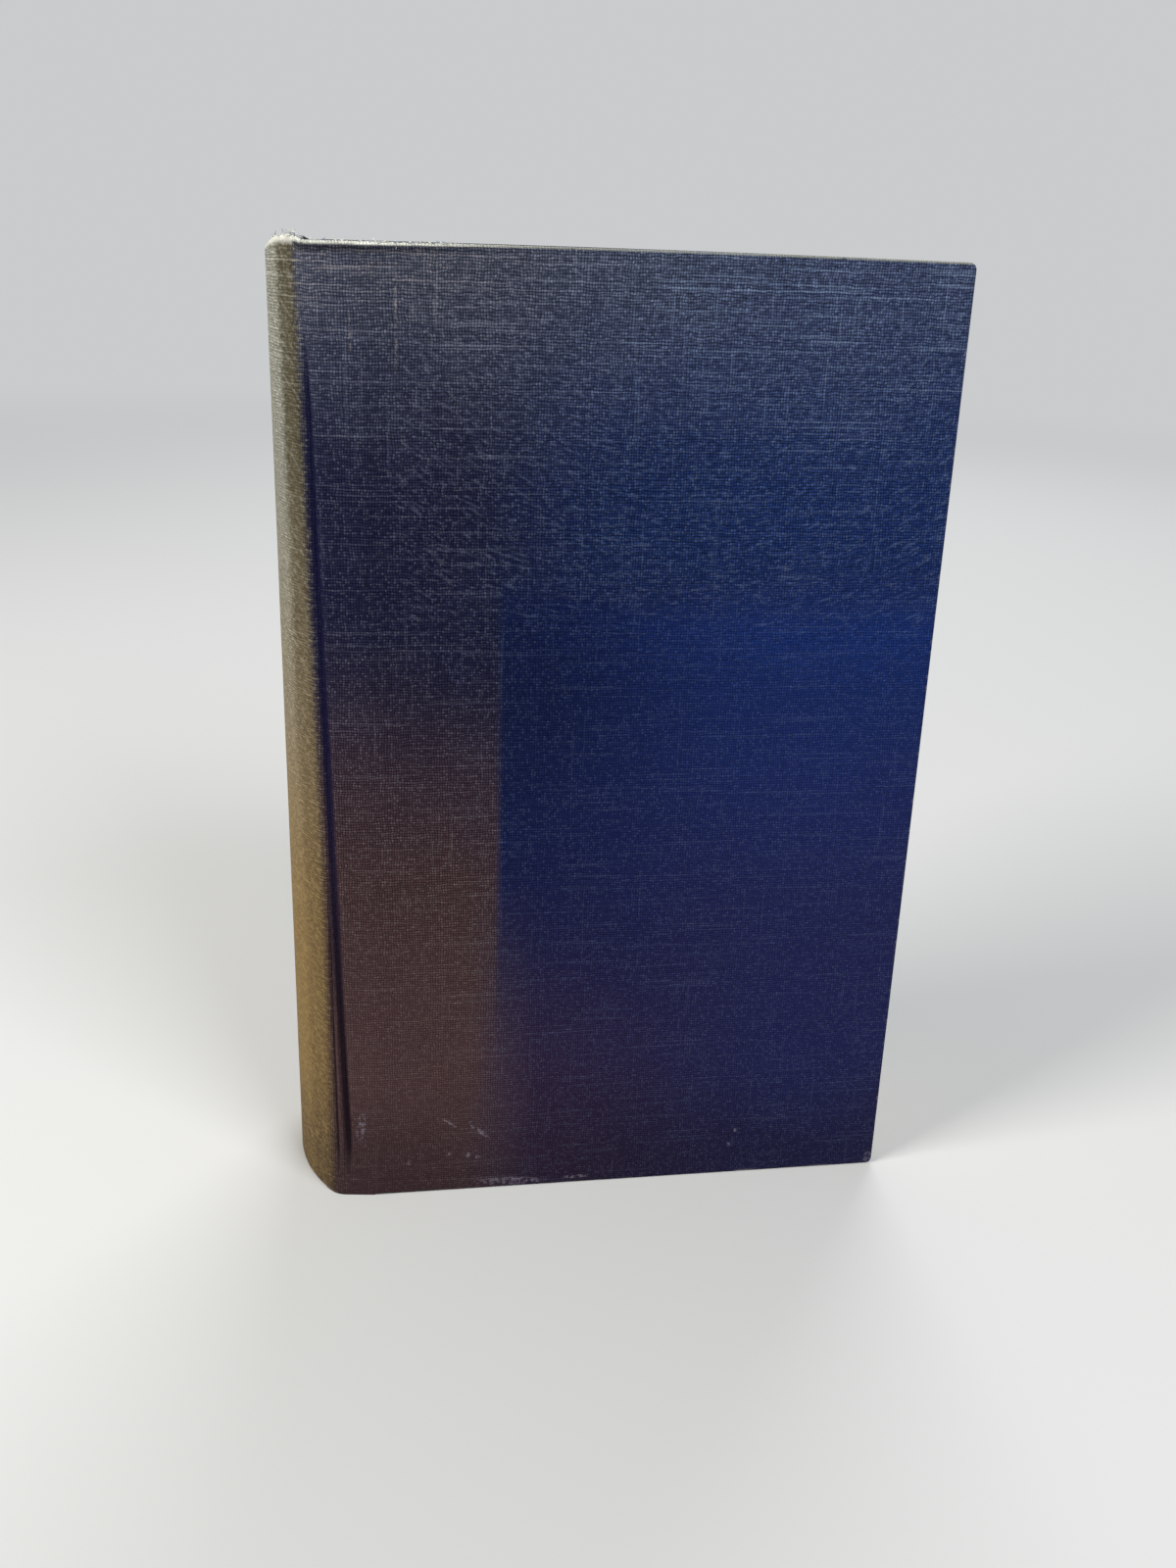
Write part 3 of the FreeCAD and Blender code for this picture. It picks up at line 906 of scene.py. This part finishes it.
# %% Cloth group: creases, which keep their unfaded dye and are darkened further by painted shade
crease_dye_and_shade = mix(cloth, rise(cloth, height, 30.0, 130.0), crease_plum, crease_navy)
# The creases are darkened: partly unfaded dye, partly painted shade in the hollow.
dark_share = product(cloth, rise(cloth, cloth_in["Crease"], 0.08, 0.8), 0.85)
colour = mix(cloth, dark_share, colour, crease_dye_and_shade)

# %% Cloth group: wear along the head edge, with a dark line under it
rightward = rise(cloth, along, 34.0, 84.0)
wear_low = scaled(cloth, rightward, 0.35, case_height - 0.95)
wear_low = scaled(cloth, on_spine, -0.9, wear_low)
under_line = calc(cloth, "SUBTRACT", height, wear_low)
# A dark line just under the worn head edge.
dark_line_under_wear = product(cloth, rise(cloth, under_line, -1.9, -0.5),
               without(cloth, calc(cloth, "MAXIMUM", rightward, on_spine)), 0.65)
colour = mix(cloth, dark_line_under_wear, colour, shade_between)
patchy = rise(cloth, cloudy(cloth, place, (420.0, 900.0, 0.0), 3.0, 8.0), 0.15, 0.45)
worn_through = scaled(cloth, on_spine, 1.2, 0.5)
worn = product(cloth, rise(cloth, under_line, 0.0, worn_through), patchy,
               calc(cloth, "MAXIMUM", on_spine,
                    rise(cloth, height, case_height + 1.6, case_height + 0.2)),
               rise(cloth, height, case_height + 3.4, case_height + 1.4),
               scaled(cloth, rightward, -0.25, 1.0))
colour = mix(cloth, worn, colour, mix(cloth, rightward, bare_thread, stone))

# %% Cloth group: rubbed edges and single marks
tail_rim = without(cloth, rise(cloth, height, 0.1, 1.2))
fore_rim = rise(cloth, along, fore_end - 1.0, fore_end - 0.3)
rub_spots = rise(cloth, cloudy(cloth, place, (120.0, 500.0, 0.0), 3.0, 12.0), 0.56, 0.70)
scuffed = product(cloth, calc(cloth, "MAXIMUM", tail_rim, fore_rim), rub_spots, 0.45)
colour = mix(cloth, scuffed, colour, chalk)
grain = rise(cloth, cloudy(cloth, place, (900.0, 900.0, 0.0), 3.0, 14.0), 0.42, 0.62)
grain = product(cloth, grain, cloth_in["Patch"])
scuffs = (
    (74.0, 1.9, 11.0, 1.5, -0.04), (92.0, 2.0, 4.0, 0.7, 0.0), (173.4, 2.2, 1.5, 2.2, 0.0),
    (35.5, 21.0, 1.6, 5.0, 1.5), (58.3, 20.8, 2.4, 0.6, -0.75), (66.0, 18.0, 3.2, 1.0, -0.8),
    (63.6, 21.2, 0.9, 0.9, 0.0), (65.5, 10.0, 1.2, 0.9, 0.0), (63.1, 11.0, 0.7, 1.3, 0.0),
    (47.7, 9.4, 0.8, 0.8, 0.0), (58.0, 11.2, 1.0, 0.9, 0.0), (133.5, 9.0, 0.9, 0.8, 0.0),
    (135.0, 13.5, 0.5, 0.9, 0.0))
pale_uprights = ((47.0, 220.0, 0.35, 13.0, 0.0), (37.4, 217.0, 0.3, 5.0, 0.0))
for spots, strength, thread in ((scuffs, 0.34, chalk), (pale_uprights, 0.38, sand_thread)):
    for centre_along, centre_height, half_length, half_width, slope in spots:
        spot = place_group(cloth, mark, Along=along, Height=height, Grain=grain,
                           Centre_Along=centre_along, Centre_Height=centre_height,
                           Half_Length=half_length, Half_Width=half_width, Slope=slope)
        colour = mix(cloth, product(cloth, spot["Mask"], strength), colour, thread)
feed(cloth, cloth_out["Color"], colour)
relief = scaled(cloth, wrinkles, 2.2, weave_here["Height"])
feed(cloth, cloth_out["Relief"], relief)
print("cloth group:", len(cloth.nodes), "nodes")
print("marks on the front cover:", len(scuffs) + len(pale_uprights))


# %% Case cloth materials
def cloth_material(name, patch_share):
    """The book cloth of one half of the case, with or without the dark patch."""
    material, tree, shader = new_material(name, 0.6)
    shader.inputs["Specular IOR Level"].default_value = 0.05
    sheet_map = tree.nodes.new("ShaderNodeUVMap")
    sheet_map.uv_map = "cloth"
    crease = tree.nodes.new("ShaderNodeAttribute")
    crease.attribute_name = "crease"
    ridge = tree.nodes.new("ShaderNodeAttribute")
    ridge.attribute_name = "ridge"
    made = place_group(tree, cloth, Vector=sheet_map.outputs[0], Crease=crease.outputs["Fac"],
                       Ridge=ridge.outputs["Fac"], Patch=patch_share)
    feed(tree, shader.inputs["Base Color"], made["Color"])
    bump(tree, shader, made["Relief"], 0.22)
    return material


front_cloth_material = cloth_material("front book cloth", 1.0)
back_cloth_material = cloth_material("back book cloth", 0.0)
print("cloth materials:", front_cloth_material.name, "and", back_cloth_material.name)

# %% Lay the cloth
case_half("front_case_cloth", -1, front_cloth_material, "front_cover")
case_half("back_case_cloth", 1, back_cloth_material, "back_cover")

# %% [markdown]
# ## Frayed threads at the head
#
# Shelves and fingers have worn the head edge down to its bare threads beside the spine, and a
# small tuft stands up from the cap. A hair system would be the quick way, but some hundred short
# tubes, each drawn out of a five-sided ring in four turning steps, are real geometry and bend
# with the cloth when the cover opens.


# %% Frayed threads
def loose_thread(sheet, root, way, length, radius):
    """A short thread that leans a little more at each step."""
    seed = root * 7.3
    turn = Vector((0.0, 0.0, 1.0)).rotation_difference(way).to_matrix().to_4x4()
    bmesh.ops.create_circle(sheet, cap_ends=True, radius=radius, segments=5,
                            matrix=Matrix.Translation(root) @ turn)
    sheet.faces.ensure_lookup_table()
    end_face = sheet.faces[-1]
    for step in range(4):
        made = bmesh.ops.extrude_face_region(sheet, geom=[end_face])["geom"]
        end_face = [item for item in made if isinstance(item, bmesh.types.BMFace)][0]
        lean = Vector((noise.noise(seed), noise.noise(seed.zxy), noise.noise(seed.yzx)))
        way = (way + 0.55 * lean * (step + 1)).normalized()
        bmesh.ops.translate(sheet, vec=way * length / 4, verts=end_face.verts[:])


def fray_material():
    """Bare linen thread, greyer in places."""
    material, tree, shader = new_material("frayed thread", 0.85)
    where = own_place(tree)
    stained = rise(tree, cloudy(tree, where, (900.0, 900.0, 900.0), 2.0), 0.40, 0.60)
    spots = rise(tree, cloudy(tree, where, (2600.0, 2600.0, 2600.0), 1.0, 5.0), 0.45, 0.55)
    colour = mix(tree, stained, bare_thread, linear(142, 150, 166))
    colour = mix(tree, product(tree, spots, 0.4), colour, linear(80, 84, 100))
    feed(tree, shader.inputs["Base Color"], colour)
    bump(tree, shader, spots, 0.03)
    return material


fray = bmesh.new()
thread_count = 130
tuft_count = 36
for number in range(thread_count):
    chance = Vector((number * 1.37, 0.5, 0.5))
    if number < tuft_count:
        along = 23.4 + 3.0 * noise.noise(chance)
        upward, length = 0.85, 1.5
    else:
        along = 12.0 + 52.0 * ((number - tuft_count) / (thread_count - tuft_count)) ** 1.2
        upward, length = 0.12, 1.9
    length *= 0.75 + 0.6 * noise.noise(chance.yxz)
    place, out_way = on_case(along)
    depth = 0.5 + 0.45 * noise.noise(chance.zyx + Vector((0.0, number * 0.71, 0.0)))
    place = place - out_way * depth
    root = Vector((place.x, place.y, case_height + head_lift(along, -1) - 0.10))
    sideways = Vector((-out_way.y, out_way.x, 0.0)) * (1.0 if number % 2 else -1.0)
    way = (sideways + Vector((0.0, 0.0, upward))).normalized()
    loose_thread(fray, root, way, length, 0.085)
bmesh.ops.recalc_face_normals(fray, faces=fray.faces)
fray_piece = finish_piece(fray, "head_fray", fray_material())
bend_with_cover(fray_piece, -1, "front_cover")

# %% [markdown]
# ## Pages
#
# The block is made of folded sections sewn together, about thirty-eight of them, and then
# rounded, which curves the fore-edge as well as the back. Drawing each leaf would need a thousand
# sheets. A grid over the head is given a small hollow between sections, pulled to the rounded
# outline and extruded down to the tail, and the leaves themselves are left to the material.

# %% Sizes of the pages
block_radius = 39.4
page_width = 142.0
face = 23.6
block_tail = 3.2
block_head = 231.8
sections = 38
section_hollow = 0.10
leaf_play = 0.09
shoulder_from = 20.0
shoulder_depth = 2.6
shoulder_spread = 0.40
print("pages:", page_width, "x", round(block_head - block_tail, 1), "mm,", sections, "sections")

# %% Leaf lines group
leaves, leaves_in, leaves_out = new_group(
    "leaf lines", [("Vector", "NodeSocketVector")],
    [("Leaves", "NodeSocketFloat"), ("Sections", "NodeSocketFloat"), ("Dust", "NodeSocketFloat")])
leaf_streaks = cloudy(leaves, leaves_in["Vector"], (7.0, 5200.0, 7.0), 2.0)
section_streaks = cloudy(leaves, leaves_in["Vector"], (5.0, 800.0, 5.0), 1.0, 6.0)
dust_clouds = cloudy(leaves, leaves_in["Vector"], (60.0, 260.0, 60.0), 4.0, 2.0)
feed(leaves, leaves_out["Leaves"], leaf_streaks)
feed(leaves, leaves_out["Sections"], section_streaks)
feed(leaves, leaves_out["Dust"], rise(leaves, dust_clouds, 0.35, 0.75))
print("leaf group:", len(leaves.nodes), "nodes")


# %% Aged paper group
paper, paper_in, paper_out = new_group(
    "aged paper", [("Vector", "NodeSocketVector")],
    [("Fibres", "NodeSocketFloat"), ("Age", "NodeSocketFloat"), ("Foxing", "NodeSocketFloat")])
paper_place = paper_in["Vector"]
toned = cloudy(paper, paper_place, (18.0, 18.0, 18.0), 3.0, 4.0)
paper_parts = split_axes(paper, paper_place)
from_middle = calc(paper, "ABSOLUTE", calc(paper, "SUBTRACT", paper_parts[2], mid_height * MM))
border = calc(paper, "MAXIMUM", rise(paper, from_middle, 94.0 * MM, 115.0 * MM),
              rise(paper, paper_parts[0], 56.0 * MM, 75.0 * MM))
cells = paper.nodes.new("ShaderNodeTexVoronoi")
cells.inputs["Scale"].default_value = 80.0
feed(paper, cells.inputs["Vector"], paper_place)
cell_parts = split_axes(paper, cells.outputs["Color"])
spot_size = product(paper, rise(paper, cell_parts[0], 0.62, 1.0), 0.10)
foxing = rise(paper, cells.outputs["Distance"], spot_size, 0.0)
feed(paper, paper_out["Fibres"], cloudy(paper, paper_place, (1500.0, 1500.0, 1500.0), 3.0))
feed(paper, paper_out["Age"], product(paper, calc(paper, "ADD", border, toned), 0.5))
feed(paper, paper_out["Foxing"], foxing)
print("paper group:", len(paper.nodes), "nodes")


# %% Page and paper materials
def pages_material():
    """The trimmed edges of the leaves: cream, browner and dustier on top."""
    material, tree, shader = new_material("page edges", 0.85)
    where = own_place(tree)
    lines = place_group(tree, leaves, Vector=where)
    upward = split_axes(tree, where)[2]
    on_head = rise(tree, upward, (block_head - 0.6) * MM, (block_head - 0.05) * MM)
    colour = mix(tree, rise(tree, lines["Leaves"], 0.3, 0.7), linear(196, 179, 144),
                 linear(219, 207, 179))
    colour = mix(tree, product(tree, rise(tree, lines["Sections"], 0.5, 0.8), 0.35),
                 colour, linear(172, 150, 112))
    dusty = product(tree, scaled(tree, on_head, 0.16, 0.08), lines["Dust"])
    colour = mix(tree, dusty, colour, linear(140, 130, 112))
    feed(tree, shader.inputs["Base Color"], colour)
    bump(tree, shader, lines["Leaves"], 0.12)
    return material


def paper_material(name, base, aged):
    """Uncoated paper: fine fibres, a browned border and a few age spots."""
    material, tree, shader = new_material(name, 0.88)
    where = own_place(tree)
    look = place_group(tree, paper, Vector=where)
    colour = mix(tree, look["Age"], base, aged)
    colour = mix(tree, product(tree, look["Foxing"], 0.35), colour, linear(168, 128, 84))
    feed(tree, shader.inputs["Base Color"], colour)
    bump(tree, shader, look["Fibres"], 0.03)
    return material


page_edges = pages_material()
endpaper = paper_material("endpaper", linear(217, 205, 177), linear(188, 166, 127))
lining = paper_material("lining paper", linear(178, 150, 110), linear(150, 122, 86))
board_grey = paper_material("grey board", linear(150, 142, 128), linear(128, 118, 102))
inlay_card = paper_material("inlay card", linear(176, 160, 130), linear(150, 134, 106))
print("paper materials:", [made.name for made in (endpaper, lining, board_grey, inlay_card)])

# %% Pages
leaf_rows = stations(-face, (face, sections * 4))
page_columns = stations(0.0, (0.04, 4), (0.96, 40), (1.0, 4))
pages = flat_sheet(page_columns, leaf_rows)
for vert in pages.verts:
    share, across = vert.co.x, vert.co.y
    section = (across + face) / (2 * face) * sections
    gap = abs(section - round(section))
    hollow = section_hollow * math.exp(-(gap / 0.12) ** 2)
    level = leaf_play * noise.noise(Vector((math.floor(section) * 3.7, 0.5, 0.5)))
    back_x = spine_centre - math.sqrt(block_radius**2 - across**2)
    front_x = spine_centre + page_width - math.sqrt(block_radius**2 - across**2)
    width = front_x - back_x
    x = back_x + width * share
    x += (hollow * (1 if share < 0.5 else -1) + level) * abs(2 * share - 1) ** 6
    spread = across
    to_shoulder = max(0.0, 1 - (x - back_x) / shoulder_depth)
    past = max(0.0, abs(across) - shoulder_from)
    spread += math.copysign(past * shoulder_spread * to_shoulder, across)
    vert.co = Vector((x, spread, block_head + level * 0.8 - hollow))
tail_part = bmesh.ops.extrude_face_region(pages, geom=pages.faces[:])["geom"]
tail_verts = [item for item in tail_part if isinstance(item, bmesh.types.BMVert)]
for vert in tail_verts:
    vert.co.z = block_tail + (block_head - vert.co.z)
uprights = [edge for edge in pages.edges
            if abs(edge.verts[0].co.z - edge.verts[1].co.z) > 100]
bmesh.ops.subdivide_edges(pages, edges=uprights, cuts=24, use_grid_fill=True)
for vert in pages.verts:
    if block_tail + 1 < vert.co.z < block_head - 1:
        vert.co.x += 0.10 * noise.noise(Vector((vert.co.y * 0.9, vert.co.z * 0.03, 1.0)))
bmesh.ops.recalc_face_normals(pages, faces=pages.faces)
pages_piece = finish_piece(pages, "pages", page_edges, smooth=False)
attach(pages_piece, "text_block")
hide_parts("text_block")

# %% [markdown]
# ## Finishes of the pieces that keep their CAD shape
#
# The boards, the spine lining, the mull on the spine and the flyleaves are flat or evenly
# curved, so their CAD shape is already the real one. Only their material is missing.


# %% Finishes of the CAD pieces
bead_path = 39.0
colour_width = 1.8


def mull_material():
    """Open starched cloth, glued down: pale threads over a darker ground."""
    material, tree, shader = new_material("mull", 0.9)
    where = own_place(tree)
    turned_map = tree.nodes.new("ShaderNodeMapping")
    turned_map.inputs["Rotation"].default_value = (math.radians(90), 0.0, 0.0)
    feed(tree, turned_map.inputs["Vector"], where)
    threads = place_group(tree, weave, Vector=turned_map.outputs[0], Pitch=0.9 * MM)
    colour = mix(tree, rise(tree, threads["Height"], 0.2, 0.6), linear(168, 150, 116),
                 linear(222, 214, 190))
    feed(tree, shader.inputs["Base Color"], colour)
    bump(tree, shader, threads["Height"], 0.15)
    return material


def silk_material():
    """Silk wound round the bead in two colours turn about, on a plain tape."""
    material, tree, shader = new_material("band silk", 0.45, 0.3)
    where = own_place(tree)
    axes = split_axes(tree, where)
    inward = calc(tree, "SUBTRACT", spine_centre * MM, axes[0])
    along_bead = product(tree, calc(tree, "ARCTAN2", axes[1], inward), bead_path)
    turns = calc(tree, "SINE", product(tree, along_bead, math.pi / colour_width))
    from_middle = calc(tree, "ABSOLUTE", calc(tree, "SUBTRACT", axes[2], mid_height * MM))
    wound = rise(tree, from_middle, 114.0 * MM, 114.3 * MM)
    colour = mix(tree, product(tree, rise(tree, turns, -0.2, 0.2), wound),
                 linear(218, 208, 182), linear(44, 60, 108))
    fibres = cloudy(tree, where, (900.0, 2600.0, 900.0), 2.0)
    colour = mix(tree, product(tree, fibres, 0.35), colour, linear(120, 108, 88))
    feed(tree, shader.inputs["Base Color"], colour)
    bump(tree, shader, fibres, 0.05)
    return material


mull_cloth = mull_material()
band_silk = silk_material()
finishes = {
    "front_board": board_grey,
    "back_board": board_grey,
    "spine_lining": lining,
    "mull_spine": mull_cloth,
    "front_flyleaf": endpaper,
    "back_flyleaf": endpaper,
}
for node_name, finish in finishes.items():
    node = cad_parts[node_name]
    for material_slot in node.material_slots:
        material_slot.material = finish
print("finished CAD pieces:", len(finishes))

# %% [markdown]
# ## Bands, card, pastedowns and mull
#
# A band is silk wound round a cord, on a tape glued to the back of the pages. A painted tube would
# do from afar, but the winding shows as ridges, so a circle is spun round the spine's centre and
# each ring is drawn in or out along a slow screw. The card inlay has worn down with the cap above
# it. The pastedown and the mull flap behind it have to bend at the hinge. The pastedown is laid
# over the edges of the turned-in cloth and the mull, which show through it, and hides the joint
# when a cover opens.

# %% Bands
bead_radius = 0.9
bead_half_width = 22.6
bead_half_angle = math.asin(bead_half_width / bead_path)
tape_half_angle = spine_half_angle - 2.0 / (spine_radius - cloth_thickness)
tape_thickness = 0.5
tape_reach = 10.0
winding = 0.6
winding_relief = 0.075


def around_spine(angle, radius, height):
    """A place round the spine's centre line, at an angle from the crest towards the front."""
    return Vector((spine_centre - radius * math.cos(angle), -radius * math.sin(angle), height))


def thicken_outward(sheet, thickness):
    """Extrude a curved sheet away from the spine's centre line."""
    moved = bmesh.ops.extrude_face_region(sheet, geom=sheet.faces[:])["geom"]
    for vert in moved:
        if isinstance(vert, bmesh.types.BMVert):
            flat_out = Vector((vert.co.x - spine_centre, vert.co.y)).normalized() * thickness
            vert.co += Vector((flat_out.x, flat_out.y, 0.0))
    bmesh.ops.recalc_face_normals(sheet, faces=sheet.faces)


def make_band(name, node, bead_height, tape_start):
    """A wound bead on the end of the pages, and the tape that holds it."""
    band = bmesh.new()
    root = around_spine(bead_half_angle, bead_path, bead_height)
    upright = Matrix.Rotation(math.pi / 2, 4, "X")
    turned_root = Matrix.Rotation(bead_half_angle, 4, "Z") @ upright
    made = bmesh.ops.create_circle(band, cap_ends=True, radius=bead_radius, segments=14,
                                   matrix=Matrix.Translation(root) @ turned_root)
    ring_geom = made["verts"] + list({edge for vert in made["verts"] for edge in vert.link_edges})
    ring_geom += list({face for vert in made["verts"] for face in vert.link_faces})
    bmesh.ops.spin(band, geom=ring_geom, cent=(spine_centre, 0.0, 0.0), axis=(0.0, 0.0, 1.0),
                   angle=-2 * bead_half_angle, steps=480, use_duplicate=False)
    for vert in band.verts:
        from_axis = Vector((vert.co.x - spine_centre, vert.co.y))
        out, up = from_axis.length - bead_path, vert.co.z - bead_height
        angle = math.atan2(-vert.co.y, spine_centre - vert.co.x)
        turn = math.atan2(up, out) / (2 * math.pi)
        ridge_share = abs(math.sin(math.pi * (angle * bead_path / winding + turn)))
        grow = 1 + winding_relief * (ridge_share - 0.8)
        flat_out = from_axis.normalized() * (bead_path + out * grow)
        vert.co = Vector((spine_centre + flat_out.x, flat_out.y, bead_height + up * grow))
    tape = flat_sheet(stations(-tape_half_angle, (tape_half_angle, 40)),
                      stations(tape_start, (bead_height, 6)))
    for vert in tape.verts:
        vert.co = around_spine(vert.co.x, block_radius, vert.co.y)
    thicken_outward(tape, tape_thickness)
    bmesh.ops.recalc_face_normals(band, faces=band.faces)
    tape_data = bpy.data.meshes.new(name + "_tape")
    tape.to_mesh(tape_data)
    tape.free()
    band.from_mesh(tape_data)
    bpy.data.meshes.remove(tape_data)
    piece = finish_piece(band, name, band_silk)
    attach(piece, "text_block")
    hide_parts(node)


make_band("head_band_silk", "head_band", block_head + bead_radius, block_head - tape_reach)
make_band("tail_band_silk", "tail_band", block_tail - bead_radius, block_tail + tape_reach)

# %% Spine card
card_radius = spine_radius - cloth_thickness - card_thickness
card_tail = cloth_thickness
card_head = case_height - cloth_thickness
worn_above = 200.0

card = flat_sheet(stations(-tape_half_angle, (tape_half_angle, 48)),
                  stations(card_tail, (worn_above, 20), (card_head, 14)))
for vert in card.verts:
    angle, level = vert.co.x, vert.co.y
    lift = head_lift(abs(angle) * spine_radius, -1 if angle > 0 else 1)
    top = min(card_head, case_height - 0.5 + lift)
    level -= (card_head - top) * step_up(level, worn_above, card_head)
    vert.co = around_spine(angle, card_radius, level)
thicken_outward(card, card_thickness)
card_piece = finish_piece(card, "spine_card", inlay_card, smooth=False)
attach(card_piece, "text_block")
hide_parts("spine_inlay")


# %% Pastedowns
paper_face = 24.4
paper_thickness = 0.2
gutter_x = -65.15
fold_edge = 14.5
fore_fold_x = 63.3
mull_tail = 15.2
mull_head = 219.8
mull_edge_x = -35.4
board_fore_x = 77.4


def past_edge_of(value, edge):
    """The soft step that glued paper takes over the edge of what lies under it."""
    return step_up(value, edge - 0.3, edge + 0.3)


def pastedown_face(x, height):
    """How far from the middle of the book the paper's open face lies."""
    over_board = step_up(x, -58.0, -57.3)
    at_ends = max(1 - past_edge_of(height, fold_edge),
                  past_edge_of(height, case_height - fold_edge))
    folded = max(at_ends * over_board, past_edge_of(x, fore_fold_x))
    mulled = past_edge_of(height, mull_tail) * (1 - past_edge_of(height, mull_head))
    mulled *= 1 - past_edge_of(x, mull_edge_x)
    from_fore, from_end = board_fore_x - x, min(height, case_height - height)
    mitre = math.exp(-((from_fore - from_end) / 0.45) ** 2) * (1 - step_up(from_fore, 13.0, 14.5))
    cockle = 0.03 * noise.noise(Vector((x * 0.06, height * 0.04, 1.0)))
    gutter = 0.15 * (1 - step_up(x, -65.1, -64.2))
    raised = max(cloth_thickness * folded, 0.3 * mulled)
    return paper_face - raised - 0.12 * mitre + cockle + gutter


def lay_in_joint(name, side, hinge_body, across, up, face_at, thickness, material, node):
    """A sheet glued to the inner face of a cover, which bends with it."""
    sheet = flat_sheet(across, up)
    for vert in sheet.verts:
        vert.co = Vector((vert.co.x, side * face_at(vert.co.x, vert.co.y), vert.co.y))
    moved = bmesh.ops.extrude_face_region(sheet, geom=sheet.faces[:])["geom"]
    bmesh.ops.translate(sheet, vec=(0.0, side * thickness, 0.0),
                        verts=[item for item in moved if isinstance(item, bmesh.types.BMVert)])
    bmesh.ops.recalc_face_normals(sheet, faces=sheet.faces)
    piece = finish_piece(sheet, name, material)
    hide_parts(node)
    bend_with_cover(piece, side, hinge_body)


both_covers = (("front", -1), ("back", 1))
paper_across = stations(gutter_x, (-57.0, 26), (-36.2, 10), (-34.6, 6), (62.6, 30), (64.0, 6),
                        (74.63, 12))
paper_up = stations(block_tail, (13.9, 12), (15.8, 12), (219.2, 44), (221.1, 12),
                    (block_head, 12))
for word, side in both_covers:
    lay_in_joint(word + "_pastedown_paper", side, word + "_cover", paper_across, paper_up,
                 pastedown_face, paper_thickness, endpaper, word + "_pastedown")

# %% Mull flaps
mull_inner = 24.32
mull_thickness = 0.26
mull_across = stations(gutter_x, (-57.0, 26), (-35.45, 8))
mull_up = stations(mull_tail, (mull_head, 24))
for word, side in both_covers:
    lay_in_joint(word + "_mull_cloth", side, word + "_cover", mull_across, mull_up,
                 lambda x, height: mull_inner, mull_thickness, mull_cloth,
                 word + "_mull_flap")
